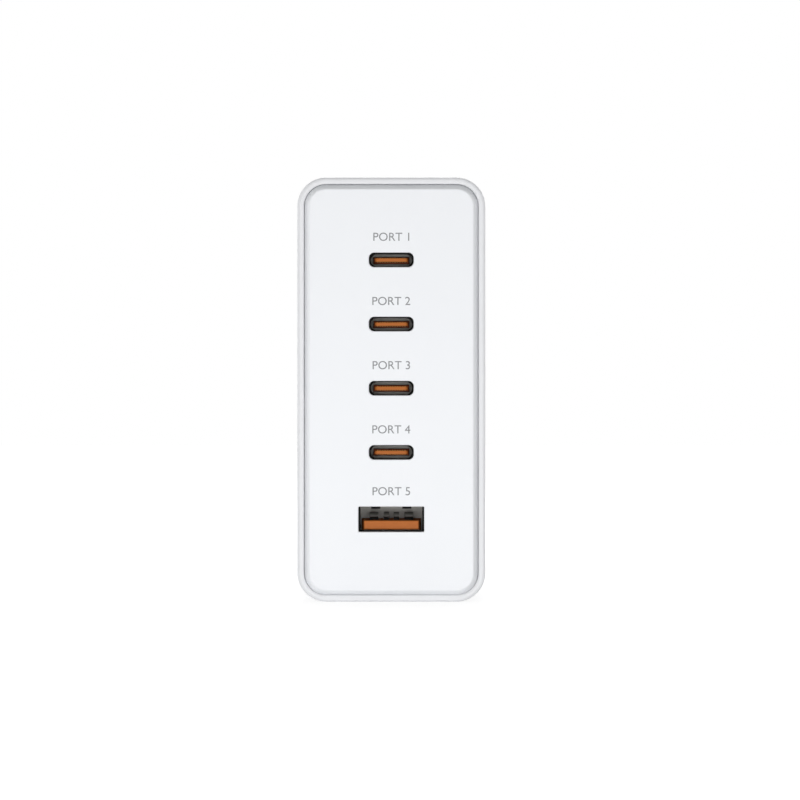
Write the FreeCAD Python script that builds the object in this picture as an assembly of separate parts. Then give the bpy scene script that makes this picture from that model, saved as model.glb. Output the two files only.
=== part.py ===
import FreeCAD
import Part

import math
import os

from FreeCAD import Vector

# A mains wall charger: a tall rounded housing with a column of five sockets in its front panel, a plug with
# two pins on its back, and a switching supply on three circuit boards inside.
# Millimetres. Seen from the sockets, +X is right and +Z is up; +Y runs from the sockets to the plug.
# The origin is the centre of the housing's underside.

# Housing: a moulded sleeve, closed by a front panel and a rear cover
BODY_WIDTH = 37.7
BODY_HEIGHT = 85.0
BODY_DEPTH = 76.0
CORNER_RADIUS = 5.8
WALL = 2.0
MOULDING_FIT = 0.05

# Front rim of the sleeve, and the panel in it, whose bevelled face stands proud of the rim
RIM_WIDTH = 1.4
RIM_OUTER_FILLET = 0.6
RIM_INNER_FILLET = 0.3
PANEL_GAP = 0.05
PANEL_STAND = 1.0
PANEL_THICKNESS = 2.4
BEVEL_WIDTH = 0.9
BEVEL_RISE = 1.2
SKIRT_DEPTH = 3.0
SKIRT_WALL = 1.2

# Snap beads on the panel's skirt, two on each side
BEAD_RADIUS = 0.6
BEAD_STAND = 0.3
BEAD_LENGTH = 12.0
BEAD_SPACING = 44.0

# Rear cover
COVER_DEPTH = 6.0
COVER_WALL = 2.2
COVER_FILLET = 2.5
SEAM_CHAMFER = 0.25

# Plug: a flat snout with a pair of round pins that lean together slightly
PLUG_WIDTH = 35.3
PLUG_HEIGHT = 13.7
PLUG_CHAMFER = 4.6
PLUG_LENGTH = 18.0
PLUG_WALL = 2.0
PLUG_FACE_WALL = 3.0
PLUG_SIDE_FILLET = 1.2
PLUG_FACE_FILLET = 0.8
PIN_LENGTH = 19.0
PIN_RADIUS = 2.0
PIN_CORE_RADIUS = 1.4
PIN_TIP_FILLET = 1.4
PIN_ROOT_SPACING = 18.6
PIN_TIP_SPACING = 17.5
PIN_INSIDE = 2.5
PIN_POST_RADIUS = 3.4
SLEEVE_LENGTH = 10.0
SLEEVE_RADIUS = 1.75
SLEEVE_ROOT = 4.0
PIN_FIT = 0.02

# Spring clips that take the current from the pins' inner ends to the input board
CLIP_RISE = 2.2
CLIP_SPAN = 9.0
CLIP_WIDTH = 4.0
CLIP_SHEET = 0.4
CLIP_GAP = 0.05

# Socket column: four small reversible sockets above one wide socket
SMALL_SOCKETS = 4
SOCKET_PITCH = 12.84
WIDE_SOCKET_DROP = 13.37
SOCKET_LENGTH = 11.5
LIP_THICKNESS = 0.6
LIP_CHAMFER = 0.12
SHELL_CLEARANCE = 0.1
INSULATOR_FIT = 0.03
LEG_WIDTH = 1.0
LEG_LENGTH = 1.9
LEG_CLEARANCE = 0.1
PLATE_SHEET = 0.3
PLATE_FIT = 0.05

# Small reversible socket
SMALL_CUTOUT_WIDTH = 8.95
SMALL_CUTOUT_HEIGHT = 2.9
SMALL_MOUTH_WIDTH = 8.34
SMALL_MOUTH_HEIGHT = 2.56
SMALL_SHEET = 0.3
SMALL_CAVITY_DEPTH = 6.2
SMALL_TONGUE_WIDTH = 6.69
SMALL_TONGUE_THICKNESS = 0.7
SMALL_TONGUE_SETBACK = 0.7
SMALL_TONGUE_CORNER = 0.6
SMALL_ROOT_WIDTH = 7.1
SMALL_ROOT_THICKNESS = 1.2
SMALL_ROOT_LENGTH = 1.3
SMALL_CONTACTS = 12
SMALL_CONTACT_PITCH = 0.5
SMALL_CONTACT_WIDTH = 0.26
SMALL_CONTACT_SHEET = 0.06
SMALL_CONTACT_INSET = 0.6
SMALL_LEG_SPACING = 5.0

# Wide socket
WIDE_CUTOUT_WIDTH = 13.15
WIDE_CUTOUT_HEIGHT = 5.05
WIDE_CUTOUT_CORNER = 0.2
WIDE_MOUTH_WIDTH = 12.5
WIDE_MOUTH_HEIGHT = 5.12
WIDE_SHEET = 0.3
WIDE_BEND_RADIUS = 0.5
WIDE_CAVITY_DEPTH = 9.0
WIDE_TONGUE_WIDTH = 11.1
WIDE_TONGUE_THICKNESS = 1.84
WIDE_TONGUE_GAP = 0.45
WIDE_TONGUE_SETBACK = 0.9
WIDE_TONGUE_CHAMFER = 0.25
WIDE_ROOT_WIDTH = 11.9
WIDE_ROOT_STAND = 0.2
WIDE_ROOT_LENGTH = 1.3
WIDE_CONTACT_OFFSETS = (-3.5, -1.0, 1.0, 3.5)
WIDE_CONTACT_WIDTHS = (1.8, 1.1, 1.1, 1.8)
WIDE_CONTACT_RISE = 1.3
WIDE_CONTACT_SHEET = 0.25
WIDE_CONTACT_INSET = 1.0
WIDE_CONTACT_SPAN = 5.0
WIDE_CONTACT_TIP_LIFT = 0.65
FINGER_OFFSET = 3.1
FINGER_WIDTH = 1.8
FINGER_LENGTH = 5.5
FINGER_INSET = 0.9
FINGER_SLOT = 0.35
FINGER_RISE = 0.42
WIDE_LEG_SPACING = 9.0

# Circuit boards
BOARD_THICKNESS = 1.6
SIDE_BOARD_THICKNESS = 1.2
BOARD_MARGIN = 1.5
PORT_BOARD_MARGIN = 4.0
INPUT_BOARD_HEIGHT = 36.0
BOARD_RIGHT_MARGIN = 1.9

# Rails in the sleeve that hold the main board's top and bottom edges
RAIL_LIP = 1.0
RAIL_LIP_HEIGHT = 1.3
RAIL_CLEARANCE = 0.1

# Heat spreaders with insulating film and thermal pads, along both side walls
FILM_SHEET = 0.25
SPREADER_SHEET = 0.8
PAD_THICKNESS = 1.0
FILM_MARGIN = 4.5
SPREADER_MARGIN = 6.0
STACK_END_GAP = 1.2

# Transformer and power-factor inductor: ferrite halves round a wound bobbin
COMPONENT_GAP = 0.6
CORE_LEG = 4.0
CORE_PLATE = 4.0
BOBBIN_FOOT = 2.5
BOBBIN_CHEEK = 1.0
BOBBIN_WALL = 0.8
BOBBIN_GAP = 0.2
TRANSFORMER_LENGTH = 24.0
TRANSFORMER_DEPTH = 18.0
TRANSFORMER_POST_RADIUS = 4.5
INDUCTOR_LENGTH = 20.0
INDUCTOR_DEPTH = 12.0
INDUCTOR_HEIGHT = 22.0
INDUCTOR_POST_RADIUS = 3.0

# Capacitors
BULK_CAPACITORS = 3
BULK_RADIUS = 6.0
BULK_HEIGHT = 24.0
OUTPUT_CAPACITORS = 3
OUTPUT_RADIUS = 3.5
OUTPUT_HEIGHT = 12.0
CAN_SEAT = 0.6
CAN_GROOVE = 0.35
CAN_GROOVE_HEIGHT = 2.0
CAN_CHAMFER = 0.6
DISC_RADIUS = 4.0
DISC_THICKNESS = 3.6
DISC_CHAMFER = 1.0
LEAD_RADIUS = 0.3
LEAD_SPACING = 5.0
LEAD_STANDOFF = 1.5
FILM_CAP_LENGTH = 13.0
FILM_CAP_DEPTH = 8.0
FILM_CAP_HEIGHT = 12.0
FILM_CAP_FILLET = 0.6

# Input parts: choke, rectifier, surge absorber and fuse
CHOKE_RADIUS = 8.0
CHOKE_HOLE_RADIUS = 4.6
CHOKE_THICKNESS = 5.0
CHOKE_WIRE = 1.2
CHOKE_WINDING_ANGLE = 130.0
RECTIFIER_LENGTH = 14.0
RECTIFIER_THICKNESS = 3.5
RECTIFIER_HEIGHT = 11.0
RECTIFIER_CHAMFER = 1.0
FUSE_RADIUS = 1.9
FUSE_LENGTH = 11.0
FUSE_CAP_LENGTH = 2.6
FUSE_CAP_STAND = 0.25
COLUMN_START = 2.0

# Flat chips and coils soldered to the boards
SWITCH_SIDE = 6.0
SWITCH_HEIGHT = 0.9
COIL_SIDE = 7.0
COIL_HEIGHT = 3.8
COIL_CHAMFER = 0.5
CONTROLLER_SIDE = 5.0
CONTROLLER_HEIGHT = 0.85

# Planes that follow from the sizes above
FRONT_Y = -BODY_DEPTH / 2
REAR_Y = BODY_DEPTH / 2
MIDDLE_Z = BODY_HEIGHT / 2
PANEL_FACE_Y = FRONT_Y - PANEL_STAND
PANEL_BACK_Y = PANEL_FACE_Y + PANEL_THICKNESS
SEAM_Y = REAR_Y - COVER_DEPTH
PLUG_FACE_Y = REAR_Y + PLUG_LENGTH
MOUTH_Y = PANEL_FACE_Y + LIP_THICKNESS
PORT_BOARD_Y = MOUTH_Y + SOCKET_LENGTH
PORT_BOARD_BACK_Y = PORT_BOARD_Y + SIDE_BOARD_THICKNESS
PIN_END_Y = REAR_Y - COVER_WALL - PIN_INSIDE
INPUT_BOARD_BACK_Y = PIN_END_Y - CLIP_GAP - CLIP_RISE
INPUT_BOARD_Y = INPUT_BOARD_BACK_Y - SIDE_BOARD_THICKNESS
BORE_WIDTH = BODY_WIDTH - 2 * WALL
BORE_HEIGHT = BODY_HEIGHT - 2 * WALL
BORE_RADIUS = CORNER_RADIUS - WALL
WALL_X = BORE_WIDTH / 2
SPREADER_X = WALL_X - FILM_SHEET
SPREADER_FACE_X = SPREADER_X - SPREADER_SHEET
BOARD_BACK_X = -SPREADER_FACE_X + PAD_THICKNESS
BOARD_FACE_X = BOARD_BACK_X + BOARD_THICKNESS
BOARD_LOW_Z = WALL + SKIRT_WALL + BOARD_MARGIN
BOARD_HIGH_Z = BODY_HEIGHT - BOARD_LOW_Z
BOARD_RIGHT_X = WALL_X - BOARD_RIGHT_MARGIN
STACK_FRONT_Y = PORT_BOARD_BACK_Y + STACK_END_GAP
STACK_REAR_Y = SEAM_Y - SKIRT_DEPTH - STACK_END_GAP
SOCKET_SPAN = (SMALL_SOCKETS - 1) * SOCKET_PITCH + WIDE_SOCKET_DROP
SMALL_SOCKET_Z = [MIDDLE_Z + SOCKET_SPAN / 2 - n * SOCKET_PITCH for n in range(SMALL_SOCKETS)]
WIDE_SOCKET_Z = MIDDLE_Z - SOCKET_SPAN / 2
PIN_LEAN = math.atan((PIN_ROOT_SPACING - PIN_TIP_SPACING) / 2 / PIN_LENGTH)
TINY = 1e-6


# Shared shapes


def box(x_range, y_range, z_range):
    """A block between two X, two Y and two Z planes."""
    low = Vector(x_range[0], y_range[0], z_range[0])
    size = [r[1] - r[0] for r in (x_range, y_range, z_range)]
    return Part.makeBox(*size, low)


def around(middle, size):
    """The two ends of a length centred on a point."""
    return middle - size / 2, middle + size / 2


def rounded_outline(width, height, radius, y, z_middle=MIDDLE_Z, x_middle=0.0):
    """A rounded rectangle across Y; a radius of half the height gives round ends."""
    half_width, half_height = width / 2, height / 2
    inner_x, inner_z = half_width - radius, half_height - radius
    slant = radius * math.sqrt(0.5)

    def at(x, z):
        return Vector(x_middle + x, y, z_middle + z)

    edges = []
    for sx, sz in ((1, 1), (-1, 1), (-1, -1), (1, -1)):
        on_side = at(sx * half_width, sz * inner_z)
        on_slant = at(sx * (inner_x + slant), sz * (inner_z + slant))
        on_end = at(sx * inner_x, sz * half_height)
        turn = (on_side, on_slant, on_end) if sx == sz else (on_end, on_slant, on_side)
        if edges and edges[-1].Vertexes[-1].Point.distanceToPoint(turn[0]) > TINY:
            edges.append(Part.makeLine(edges[-1].Vertexes[-1].Point, turn[0]))
        edges.append(Part.Arc(*turn).toShape())
    last, first = edges[-1].Vertexes[-1].Point, edges[0].Vertexes[0].Point
    if last.distanceToPoint(first) > TINY:
        edges.append(Part.makeLine(last, first))
    return Part.Wire(edges)


def rounded_bar(width, height, radius, y_range, *middle):
    """A bar along Y with a rounded rectangle as its section."""
    outline = rounded_outline(width, height, radius, y_range[0], *middle)
    return Part.Face(outline).extrude(Vector(0, y_range[1] - y_range[0], 0))


def bevelled_bar(width, height, radius, inset, y_range):
    """A bar along Y that widens from its front by the same inset all round."""
    front = rounded_outline(width - 2 * inset, height - 2 * inset, radius - inset, y_range[0])
    return Part.makeLoft([front, rounded_outline(width, height, radius, y_range[1])], True, True)


def outline_bar(points, y_range):
    """A bar along Y with a straight-sided outline of (x, z) points."""
    corners = [Vector(x, y_range[0], z) for x, z in points]
    face = Part.Face(Part.makePolygon(corners + corners[:1]))
    return face.extrude(Vector(0, y_range[1] - y_range[0], 0))


def edges_across(shape, y, half_width=math.inf, half_height=math.inf, z_middle=MIDDLE_Z):
    """The edges that lie in one plane across Y, inside a window of that half size."""
    found = []
    for edge in shape.Edges:
        b = edge.BoundBox
        flat = abs(b.YMin - y) < TINY and abs(b.YMax - y) < TINY
        across = max(b.XMax, -b.XMin) < half_width
        upright = max(b.ZMax - z_middle, z_middle - b.ZMin) < half_height
        if flat and across and upright:
            found.append(edge)
    return found


def turned(profile, axis_point, axis):
    """A solid of revolution; profile is a closed list of points in a plane through the axis."""
    face = Part.Face(Part.makePolygon(profile + profile[:1]))
    return face.revolve(axis_point, axis, 360)


def bowed_strip(start, end, rise, sheet, x_range):
    """A strip of sheet bowed between two (y, z) feet; its crest stands to the left of the way along it."""
    along = Vector(0, end[0] - start[0], end[1] - start[1])
    up = Vector(0, -along.z, along.y).normalize()
    first, last = Vector(x_range[0], *start), Vector(x_range[0], *end)
    crest = (first + last) / 2 + up * rise
    inner = Part.Arc(first, crest - up * sheet, last).toShape()
    outer = Part.Arc(first + up * sheet, crest, last + up * sheet).toShape()
    ends = [Part.makeLine(p, p + up * sheet) for p in (first, last)]
    face = Part.Face(Part.Wire(Part.__sortEdges__([inner, outer, *ends])))
    return face.extrude(Vector(x_range[1] - x_range[0], 0, 0))


def fused(shapes):
    """All the shapes as one solid, without the seams between them."""
    return shapes[0].multiFuse(shapes[1:]).removeSplitter()


def skirt(y_range):
    """The ring on a cover that slides into the sleeve's bore."""
    width, height = BORE_WIDTH - 2 * MOULDING_FIT, BORE_HEIGHT - 2 * MOULDING_FIT
    radius = BORE_RADIUS - MOULDING_FIT
    outside = rounded_bar(width, height, radius, y_range)
    inside = rounded_bar(width - 2 * SKIRT_WALL, height - 2 * SKIRT_WALL, radius - SKIRT_WALL, y_range)
    return outside.cut(inside)


# Housing


def snap_beads(radius):
    """The four round beads, or with more radius the grooves that take them."""
    axis_x = WALL_X - MOULDING_FIT + BEAD_STAND - BEAD_RADIUS
    axis_y = PANEL_BACK_Y + SKIRT_DEPTH / 2
    length = BEAD_LENGTH + 2 * (radius - BEAD_RADIUS)
    beads = []
    for side in (-1, 1):
        for end in (-1, 1):
            low_z = around(MIDDLE_Z + end * BEAD_SPACING / 2, length)[0]
            beads.append(Part.makeCylinder(radius, length, Vector(side * axis_x, axis_y, low_z)))
    return beads


def board_rails():
    """Channels along the sleeve's floor and roof for the main board's edges."""
    slot_x = (BOARD_BACK_X - RAIL_CLEARANCE, BOARD_FACE_X + RAIL_CLEARANCE)
    rail_x = (slot_x[0] - RAIL_LIP, slot_x[1] + RAIL_LIP)
    rail_y = (STACK_FRONT_Y, STACK_REAR_Y)
    floor_z = (WALL, BOARD_LOW_Z + RAIL_LIP_HEIGHT)
    slot_z = (BOARD_LOW_Z - RAIL_CLEARANCE, floor_z[1])
    floor = box(rail_x, rail_y, floor_z).cut(box(slot_x, rail_y, slot_z))
    roof = floor.mirror(Vector(0, 0, MIDDLE_Z), Vector(0, 0, 1))
    return [floor, roof]


def housing_sleeve():
    sleeve = rounded_bar(BODY_WIDTH, BODY_HEIGHT, CORNER_RADIUS, (FRONT_Y, SEAM_Y))
    sleeve = sleeve.makeFillet(RIM_OUTER_FILLET, edges_across(sleeve, FRONT_Y))
    sleeve = sleeve.makeChamfer(SEAM_CHAMFER, edges_across(sleeve, SEAM_Y))
    rim_bore = (BODY_WIDTH - 2 * RIM_WIDTH, BODY_HEIGHT - 2 * RIM_WIDTH)
    sleeve = sleeve.cut(rounded_bar(*rim_bore, CORNER_RADIUS - RIM_WIDTH, (FRONT_Y, PANEL_BACK_Y)))
    sleeve = sleeve.cut(rounded_bar(BORE_WIDTH, BORE_HEIGHT, BORE_RADIUS, (FRONT_Y, SEAM_Y)))
    window = [size / 2 + TINY for size in rim_bore]
    sleeve = sleeve.makeFillet(RIM_INNER_FILLET, edges_across(sleeve, FRONT_Y, *window))
    for groove in snap_beads(BEAD_RADIUS + MOULDING_FIT):
        sleeve = sleeve.cut(groove)
    return fused([sleeve, *board_rails()])


def front_panel():
    inset = RIM_WIDTH + PANEL_GAP
    width, height = BODY_WIDTH - 2 * inset, BODY_HEIGHT - 2 * inset
    section = (width, height, CORNER_RADIUS - inset)
    bevel_y = PANEL_FACE_Y + BEVEL_RISE
    panel = rounded_bar(*section, (bevel_y, PANEL_BACK_Y))
    bevel = bevelled_bar(*section, BEVEL_WIDTH, (PANEL_FACE_Y, bevel_y))
    panel = fused([panel, bevel, skirt((PANEL_BACK_Y, PANEL_BACK_Y + SKIRT_DEPTH)), *snap_beads(BEAD_RADIUS)])
    lip_y, seat_y = (PANEL_FACE_Y, MOUTH_Y), (MOUTH_Y, PANEL_BACK_Y)
    cutout = (SMALL_CUTOUT_WIDTH, SMALL_CUTOUT_HEIGHT, SMALL_CUTOUT_HEIGHT / 2)
    seat = [size + 2 * SHELL_CLEARANCE for size in small_shell_size()]
    for z in SMALL_SOCKET_Z:
        panel = panel.cut(rounded_bar(*cutout, lip_y, z))
        panel = panel.cut(rounded_bar(*seat, seat[1] / 2, seat_y, z))
    seat = [size + 2 * SHELL_CLEARANCE for size in wide_shell_size()]
    cutout = (WIDE_CUTOUT_WIDTH, WIDE_CUTOUT_HEIGHT, WIDE_CUTOUT_CORNER)
    panel = panel.cut(rounded_bar(*cutout, lip_y, WIDE_SOCKET_Z))
    panel = panel.cut(rounded_bar(*seat, WIDE_BEND_RADIUS, seat_y, WIDE_SOCKET_Z))
    window = (WIDE_CUTOUT_WIDTH / 2 + TINY, SOCKET_SPAN / 2 + WIDE_CUTOUT_HEIGHT)
    return panel.makeChamfer(LIP_CHAMFER, edges_across(panel, PANEL_FACE_Y, *window))


def plug_outline(inset=0.0):
    """The plug's outline: a flat bar with slanted ends."""
    half_width, half_height = PLUG_WIDTH / 2 - inset, PLUG_HEIGHT / 2 - inset
    slant = PLUG_CHAMFER - inset * (2 - math.sqrt(2))
    flat_x, flat_z = half_width - slant, half_height - slant
    right = [(flat_x, -half_height), (half_width, -flat_z), (half_width, flat_z), (flat_x, half_height)]
    left = [(-x, -z) for x, z in right]
    return [(x, MIDDLE_Z + z) for x, z in right + left]


def rear_cover():
    cover = rounded_bar(BODY_WIDTH, BODY_HEIGHT, CORNER_RADIUS, (SEAM_Y, REAR_Y))
    cover = cover.makeFillet(COVER_FILLET, edges_across(cover, REAR_Y))
    cover = cover.makeChamfer(SEAM_CHAMFER, edges_across(cover, SEAM_Y))
    inner_y = REAR_Y - COVER_WALL
    ring = (BORE_WIDTH - 2 * SKIRT_WALL, BORE_HEIGHT - 2 * SKIRT_WALL, BORE_RADIUS - SKIRT_WALL)
    cover = cover.cut(rounded_bar(*ring, (SEAM_Y, inner_y)))
    snout = outline_bar(plug_outline(), (inner_y, PLUG_FACE_Y))
    snout = snout.makeFillet(PLUG_SIDE_FILLET, [e for e in snout.Edges if e.BoundBox.YLength > TINY])
    snout = snout.makeFillet(PLUG_FACE_FILLET, edges_across(snout, PLUG_FACE_Y))
    cover = fused([cover, snout, skirt((SEAM_Y - SKIRT_DEPTH, SEAM_Y))])
    cover = cover.cut(outline_bar(plug_outline(PLUG_WALL), (inner_y, PLUG_FACE_Y - PLUG_FACE_WALL)))
    posts = [pin_bar(side, PIN_POST_RADIUS, inner_y, PLUG_FACE_Y - PLUG_FACE_WALL / 2) for side in (-1, 1)]
    cover = fused([cover, *posts])
    for side in (-1, 1):
        cover = cover.cut(pin_bar(side, PIN_CORE_RADIUS + PIN_FIT, SEAM_Y, PLUG_FACE_Y))
        root_y = PLUG_FACE_Y - SLEEVE_ROOT
        cover = cover.cut(pin_bar(side, SLEEVE_RADIUS + PIN_FIT, root_y, PLUG_FACE_Y + SLEEVE_LENGTH))
    return cover


# Plug pins


def lean(shape, side):
    """Moves a shape made along Y through the origin onto a pin's own leaning axis at the plug's face."""
    turn = FreeCAD.Rotation(Vector(0, 0, 1), math.degrees(side * PIN_LEAN))
    shape.Placement = FreeCAD.Placement(Vector(side * PIN_ROOT_SPACING / 2, PLUG_FACE_Y, MIDDLE_Z), turn)
    return shape


def pin_bar(side, radius, y_low, y_high):
    """A round bar on a pin's axis."""
    low = y_low - PLUG_FACE_Y
    return lean(Part.makeCylinder(radius, y_high - y_low, Vector(0, low, 0), Vector(0, 1, 0)), side)


def plug_pin(side):
    """A turned pin: a thin core through the snout, and a full-size rounded tip beyond the sleeve."""
    start, along = PIN_END_Y - PLUG_FACE_Y, Vector(0, 1, 0)
    core = Part.makeCylinder(PIN_CORE_RADIUS, SLEEVE_LENGTH - start, Vector(0, start, 0), along)
    tip = Part.makeCylinder(PIN_RADIUS, PIN_LENGTH - SLEEVE_LENGTH, Vector(0, SLEEVE_LENGTH, 0), along)
    tip = tip.makeFillet(PIN_TIP_FILLET, edges_across(tip, PIN_LENGTH, z_middle=0))
    return lean(fused([core, tip]), side)


def pin_sleeve(side):
    """The moulded collar that insulates the root of a pin."""
    length = SLEEVE_ROOT + SLEEVE_LENGTH
    root = Vector(0, -SLEEVE_ROOT, 0)
    collar = Part.makeCylinder(SLEEVE_RADIUS, length, root, Vector(0, 1, 0))
    hole = Part.makeCylinder(PIN_CORE_RADIUS + PIN_FIT, length, root, Vector(0, 1, 0))
    return lean(collar.cut(hole), side)


def pin_clip(side):
    """A bowed spring between the input board and the inner end of a pin."""
    reach = PLUG_FACE_Y - PIN_END_Y
    x = side * (PIN_ROOT_SPACING / 2 + reach * math.tan(PIN_LEAN))
    high, low = MIDDLE_Z + CLIP_SPAN / 2, MIDDLE_Z - CLIP_SPAN / 2
    feet = (INPUT_BOARD_BACK_Y, high), (INPUT_BOARD_BACK_Y, low)
    return bowed_strip(*feet, CLIP_RISE, CLIP_SHEET, around(x, CLIP_WIDTH))


# Sockets


def small_shell_size():
    return SMALL_MOUTH_WIDTH + 2 * SMALL_SHEET, SMALL_MOUTH_HEIGHT + 2 * SMALL_SHEET


def wide_shell_size():
    return WIDE_MOUTH_WIDTH + 2 * WIDE_SHEET, WIDE_MOUTH_HEIGHT + 2 * WIDE_SHEET


def shell_legs(z, mouth_height, sheet, spacing, clearance=0.0):
    """The four legs of a shell, or with a clearance the board slots that they pass through."""
    legs = []
    leg_y = (PORT_BOARD_Y, PORT_BOARD_Y + LEG_LENGTH)
    for side in (-1, 1):
        for face in (-1, 1):
            middle = z + face * (mouth_height + sheet) / 2
            x_range = around(side * spacing / 2, LEG_WIDTH + 2 * clearance)
            legs.append(box(x_range, leg_y, around(middle, sheet + 2 * clearance)))
    return legs


def small_shell(z):
    width, height = small_shell_size()
    depth = (MOUTH_Y, PORT_BOARD_Y)
    tube = rounded_bar(width, height, height / 2, depth, z)
    tube = tube.cut(rounded_bar(SMALL_MOUTH_WIDTH, SMALL_MOUTH_HEIGHT, SMALL_MOUTH_HEIGHT / 2, depth, z))
    return fused([tube, *shell_legs(z, SMALL_MOUTH_HEIGHT, SMALL_SHEET, SMALL_LEG_SPACING)])


def small_tongue(z):
    """The insulator: a plug that fills the back of the shell, with a stepped tongue in the mouth."""
    tip_y, back_y = MOUTH_Y + SMALL_TONGUE_SETBACK, MOUTH_Y + SMALL_CAVITY_DEPTH
    root_y = back_y - SMALL_ROOT_LENGTH
    width, height = (size - 2 * INSULATOR_FIT for size in (SMALL_MOUTH_WIDTH, SMALL_MOUTH_HEIGHT))
    base = rounded_bar(width, height, height / 2, (back_y, PORT_BOARD_Y), z)
    root = box(around(0, SMALL_ROOT_WIDTH), (root_y, back_y), around(z, SMALL_ROOT_THICKNESS))
    tongue = box(around(0, SMALL_TONGUE_WIDTH), (tip_y, back_y), around(z, SMALL_TONGUE_THICKNESS))
    corners = []
    for edge in tongue.Edges:
        b = edge.BoundBox
        if b.ZLength > TINY and b.YMax < tip_y + TINY:
            corners.append(edge)
    return fused([base, root, tongue.makeFillet(SMALL_TONGUE_CORNER, corners)])


def small_contacts(z):
    """Two rows of flat contacts, one on each face of the tongue."""
    start = MOUTH_Y + SMALL_TONGUE_SETBACK + SMALL_CONTACT_INSET
    y_range = (start, MOUTH_Y + SMALL_CAVITY_DEPTH - SMALL_ROOT_LENGTH)
    first_x = -(SMALL_CONTACTS - 1) * SMALL_CONTACT_PITCH / 2
    strips = []
    for face in (-1, 1):
        middle = z + face * (SMALL_TONGUE_THICKNESS + SMALL_CONTACT_SHEET) / 2
        for n in range(SMALL_CONTACTS):
            x_range = around(first_x + n * SMALL_CONTACT_PITCH, SMALL_CONTACT_WIDTH)
            strips.append(box(x_range, y_range, around(middle, SMALL_CONTACT_SHEET)))
    return Part.makeCompound(strips)


def small_plate(z):
    """The earthed plate at the back of the mouth, with a slot that the tongue's root stands through."""
    back_y = MOUTH_Y + SMALL_CAVITY_DEPTH
    y_range = (back_y - PLATE_SHEET, back_y)
    width, height = (size - 2 * INSULATOR_FIT for size in (SMALL_MOUTH_WIDTH, SMALL_MOUTH_HEIGHT))
    slot_x = around(0, SMALL_ROOT_WIDTH + 2 * PLATE_FIT)
    slot_z = around(z, SMALL_ROOT_THICKNESS + 2 * PLATE_FIT)
    return rounded_bar(width, height, height / 2, y_range, z).cut(box(slot_x, y_range, slot_z))


def wide_shell():
    """A folded box shell with two spring fingers cut out of its top wall and bowed into the mouth."""
    depth = (MOUTH_Y, PORT_BOARD_Y)
    inner_top = WIDE_SOCKET_Z + WIDE_MOUTH_HEIGHT / 2
    wall_z = (inner_top, inner_top + WIDE_SHEET)
    shell = rounded_bar(*wide_shell_size(), WIDE_BEND_RADIUS, depth, WIDE_SOCKET_Z)
    mouth = (WIDE_MOUTH_WIDTH, WIDE_MOUTH_HEIGHT, WIDE_BEND_RADIUS - WIDE_SHEET)
    shell = shell.cut(rounded_bar(*mouth, depth, WIDE_SOCKET_Z))
    finger_y = (MOUTH_Y + FINGER_INSET, MOUTH_Y + FINGER_INSET + FINGER_LENGTH)
    fingers = []
    for side in (-1, 1):
        window_x = around(side * FINGER_OFFSET, FINGER_WIDTH + 2 * FINGER_SLOT)
        shell = shell.cut(box(window_x, finger_y, wall_z))
        feet = (finger_y[1], wall_z[1]), (finger_y[0] + FINGER_SLOT, wall_z[1])
        finger_x = around(side * FINGER_OFFSET, FINGER_WIDTH)
        fingers.append(bowed_strip(*feet, FINGER_RISE + WIDE_SHEET, WIDE_SHEET, finger_x))
    legs = shell_legs(WIDE_SOCKET_Z, WIDE_MOUTH_HEIGHT, WIDE_SHEET, WIDE_LEG_SPACING)
    return fused([shell, *fingers, *legs])


def wide_tongue_top():
    return WIDE_SOCKET_Z - WIDE_MOUTH_HEIGHT / 2 + WIDE_TONGUE_GAP + WIDE_TONGUE_THICKNESS


def wide_tongue_section(stand=0.0):
    """The heights between which the tongue lies, or with a stand its root or the slot round that."""
    return wide_tongue_top() - WIDE_TONGUE_THICKNESS - stand, wide_tongue_top() + stand


def wide_tongue():
    """The insulator: a block at the back of the shell, with a thick tongue on a root low in the mouth."""
    tip_y, back_y = MOUTH_Y + WIDE_TONGUE_SETBACK, MOUTH_Y + WIDE_CAVITY_DEPTH
    width, height = (size - 2 * INSULATOR_FIT for size in (WIDE_MOUTH_WIDTH, WIDE_MOUTH_HEIGHT))
    corner = WIDE_BEND_RADIUS - WIDE_SHEET
    base = rounded_bar(width, height, corner, (back_y, PORT_BOARD_Y), WIDE_SOCKET_Z)
    root_y = (back_y - WIDE_ROOT_LENGTH, back_y)
    root = box(around(0, WIDE_ROOT_WIDTH), root_y, wide_tongue_section(WIDE_ROOT_STAND))
    tongue = box(around(0, WIDE_TONGUE_WIDTH), (tip_y, back_y), wide_tongue_section())
    tongue = tongue.makeChamfer(WIDE_TONGUE_CHAMFER, edges_across(tongue, tip_y))
    return fused([base, root, tongue])


def wide_plate():
    """The earthed plate at the back of the mouth, with a slot that the tongue's root stands through."""
    back_y = MOUTH_Y + WIDE_CAVITY_DEPTH
    y_range = (back_y - PLATE_SHEET, back_y)
    width, height = (size - 2 * INSULATOR_FIT for size in (WIDE_MOUTH_WIDTH, WIDE_MOUTH_HEIGHT))
    plate = rounded_bar(width, height, WIDE_BEND_RADIUS - WIDE_SHEET, y_range, WIDE_SOCKET_Z)
    slot_z = wide_tongue_section(WIDE_ROOT_STAND + PLATE_FIT)
    return plate.cut(box(around(0, WIDE_ROOT_WIDTH + 2 * PLATE_FIT), y_range, slot_z))


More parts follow.
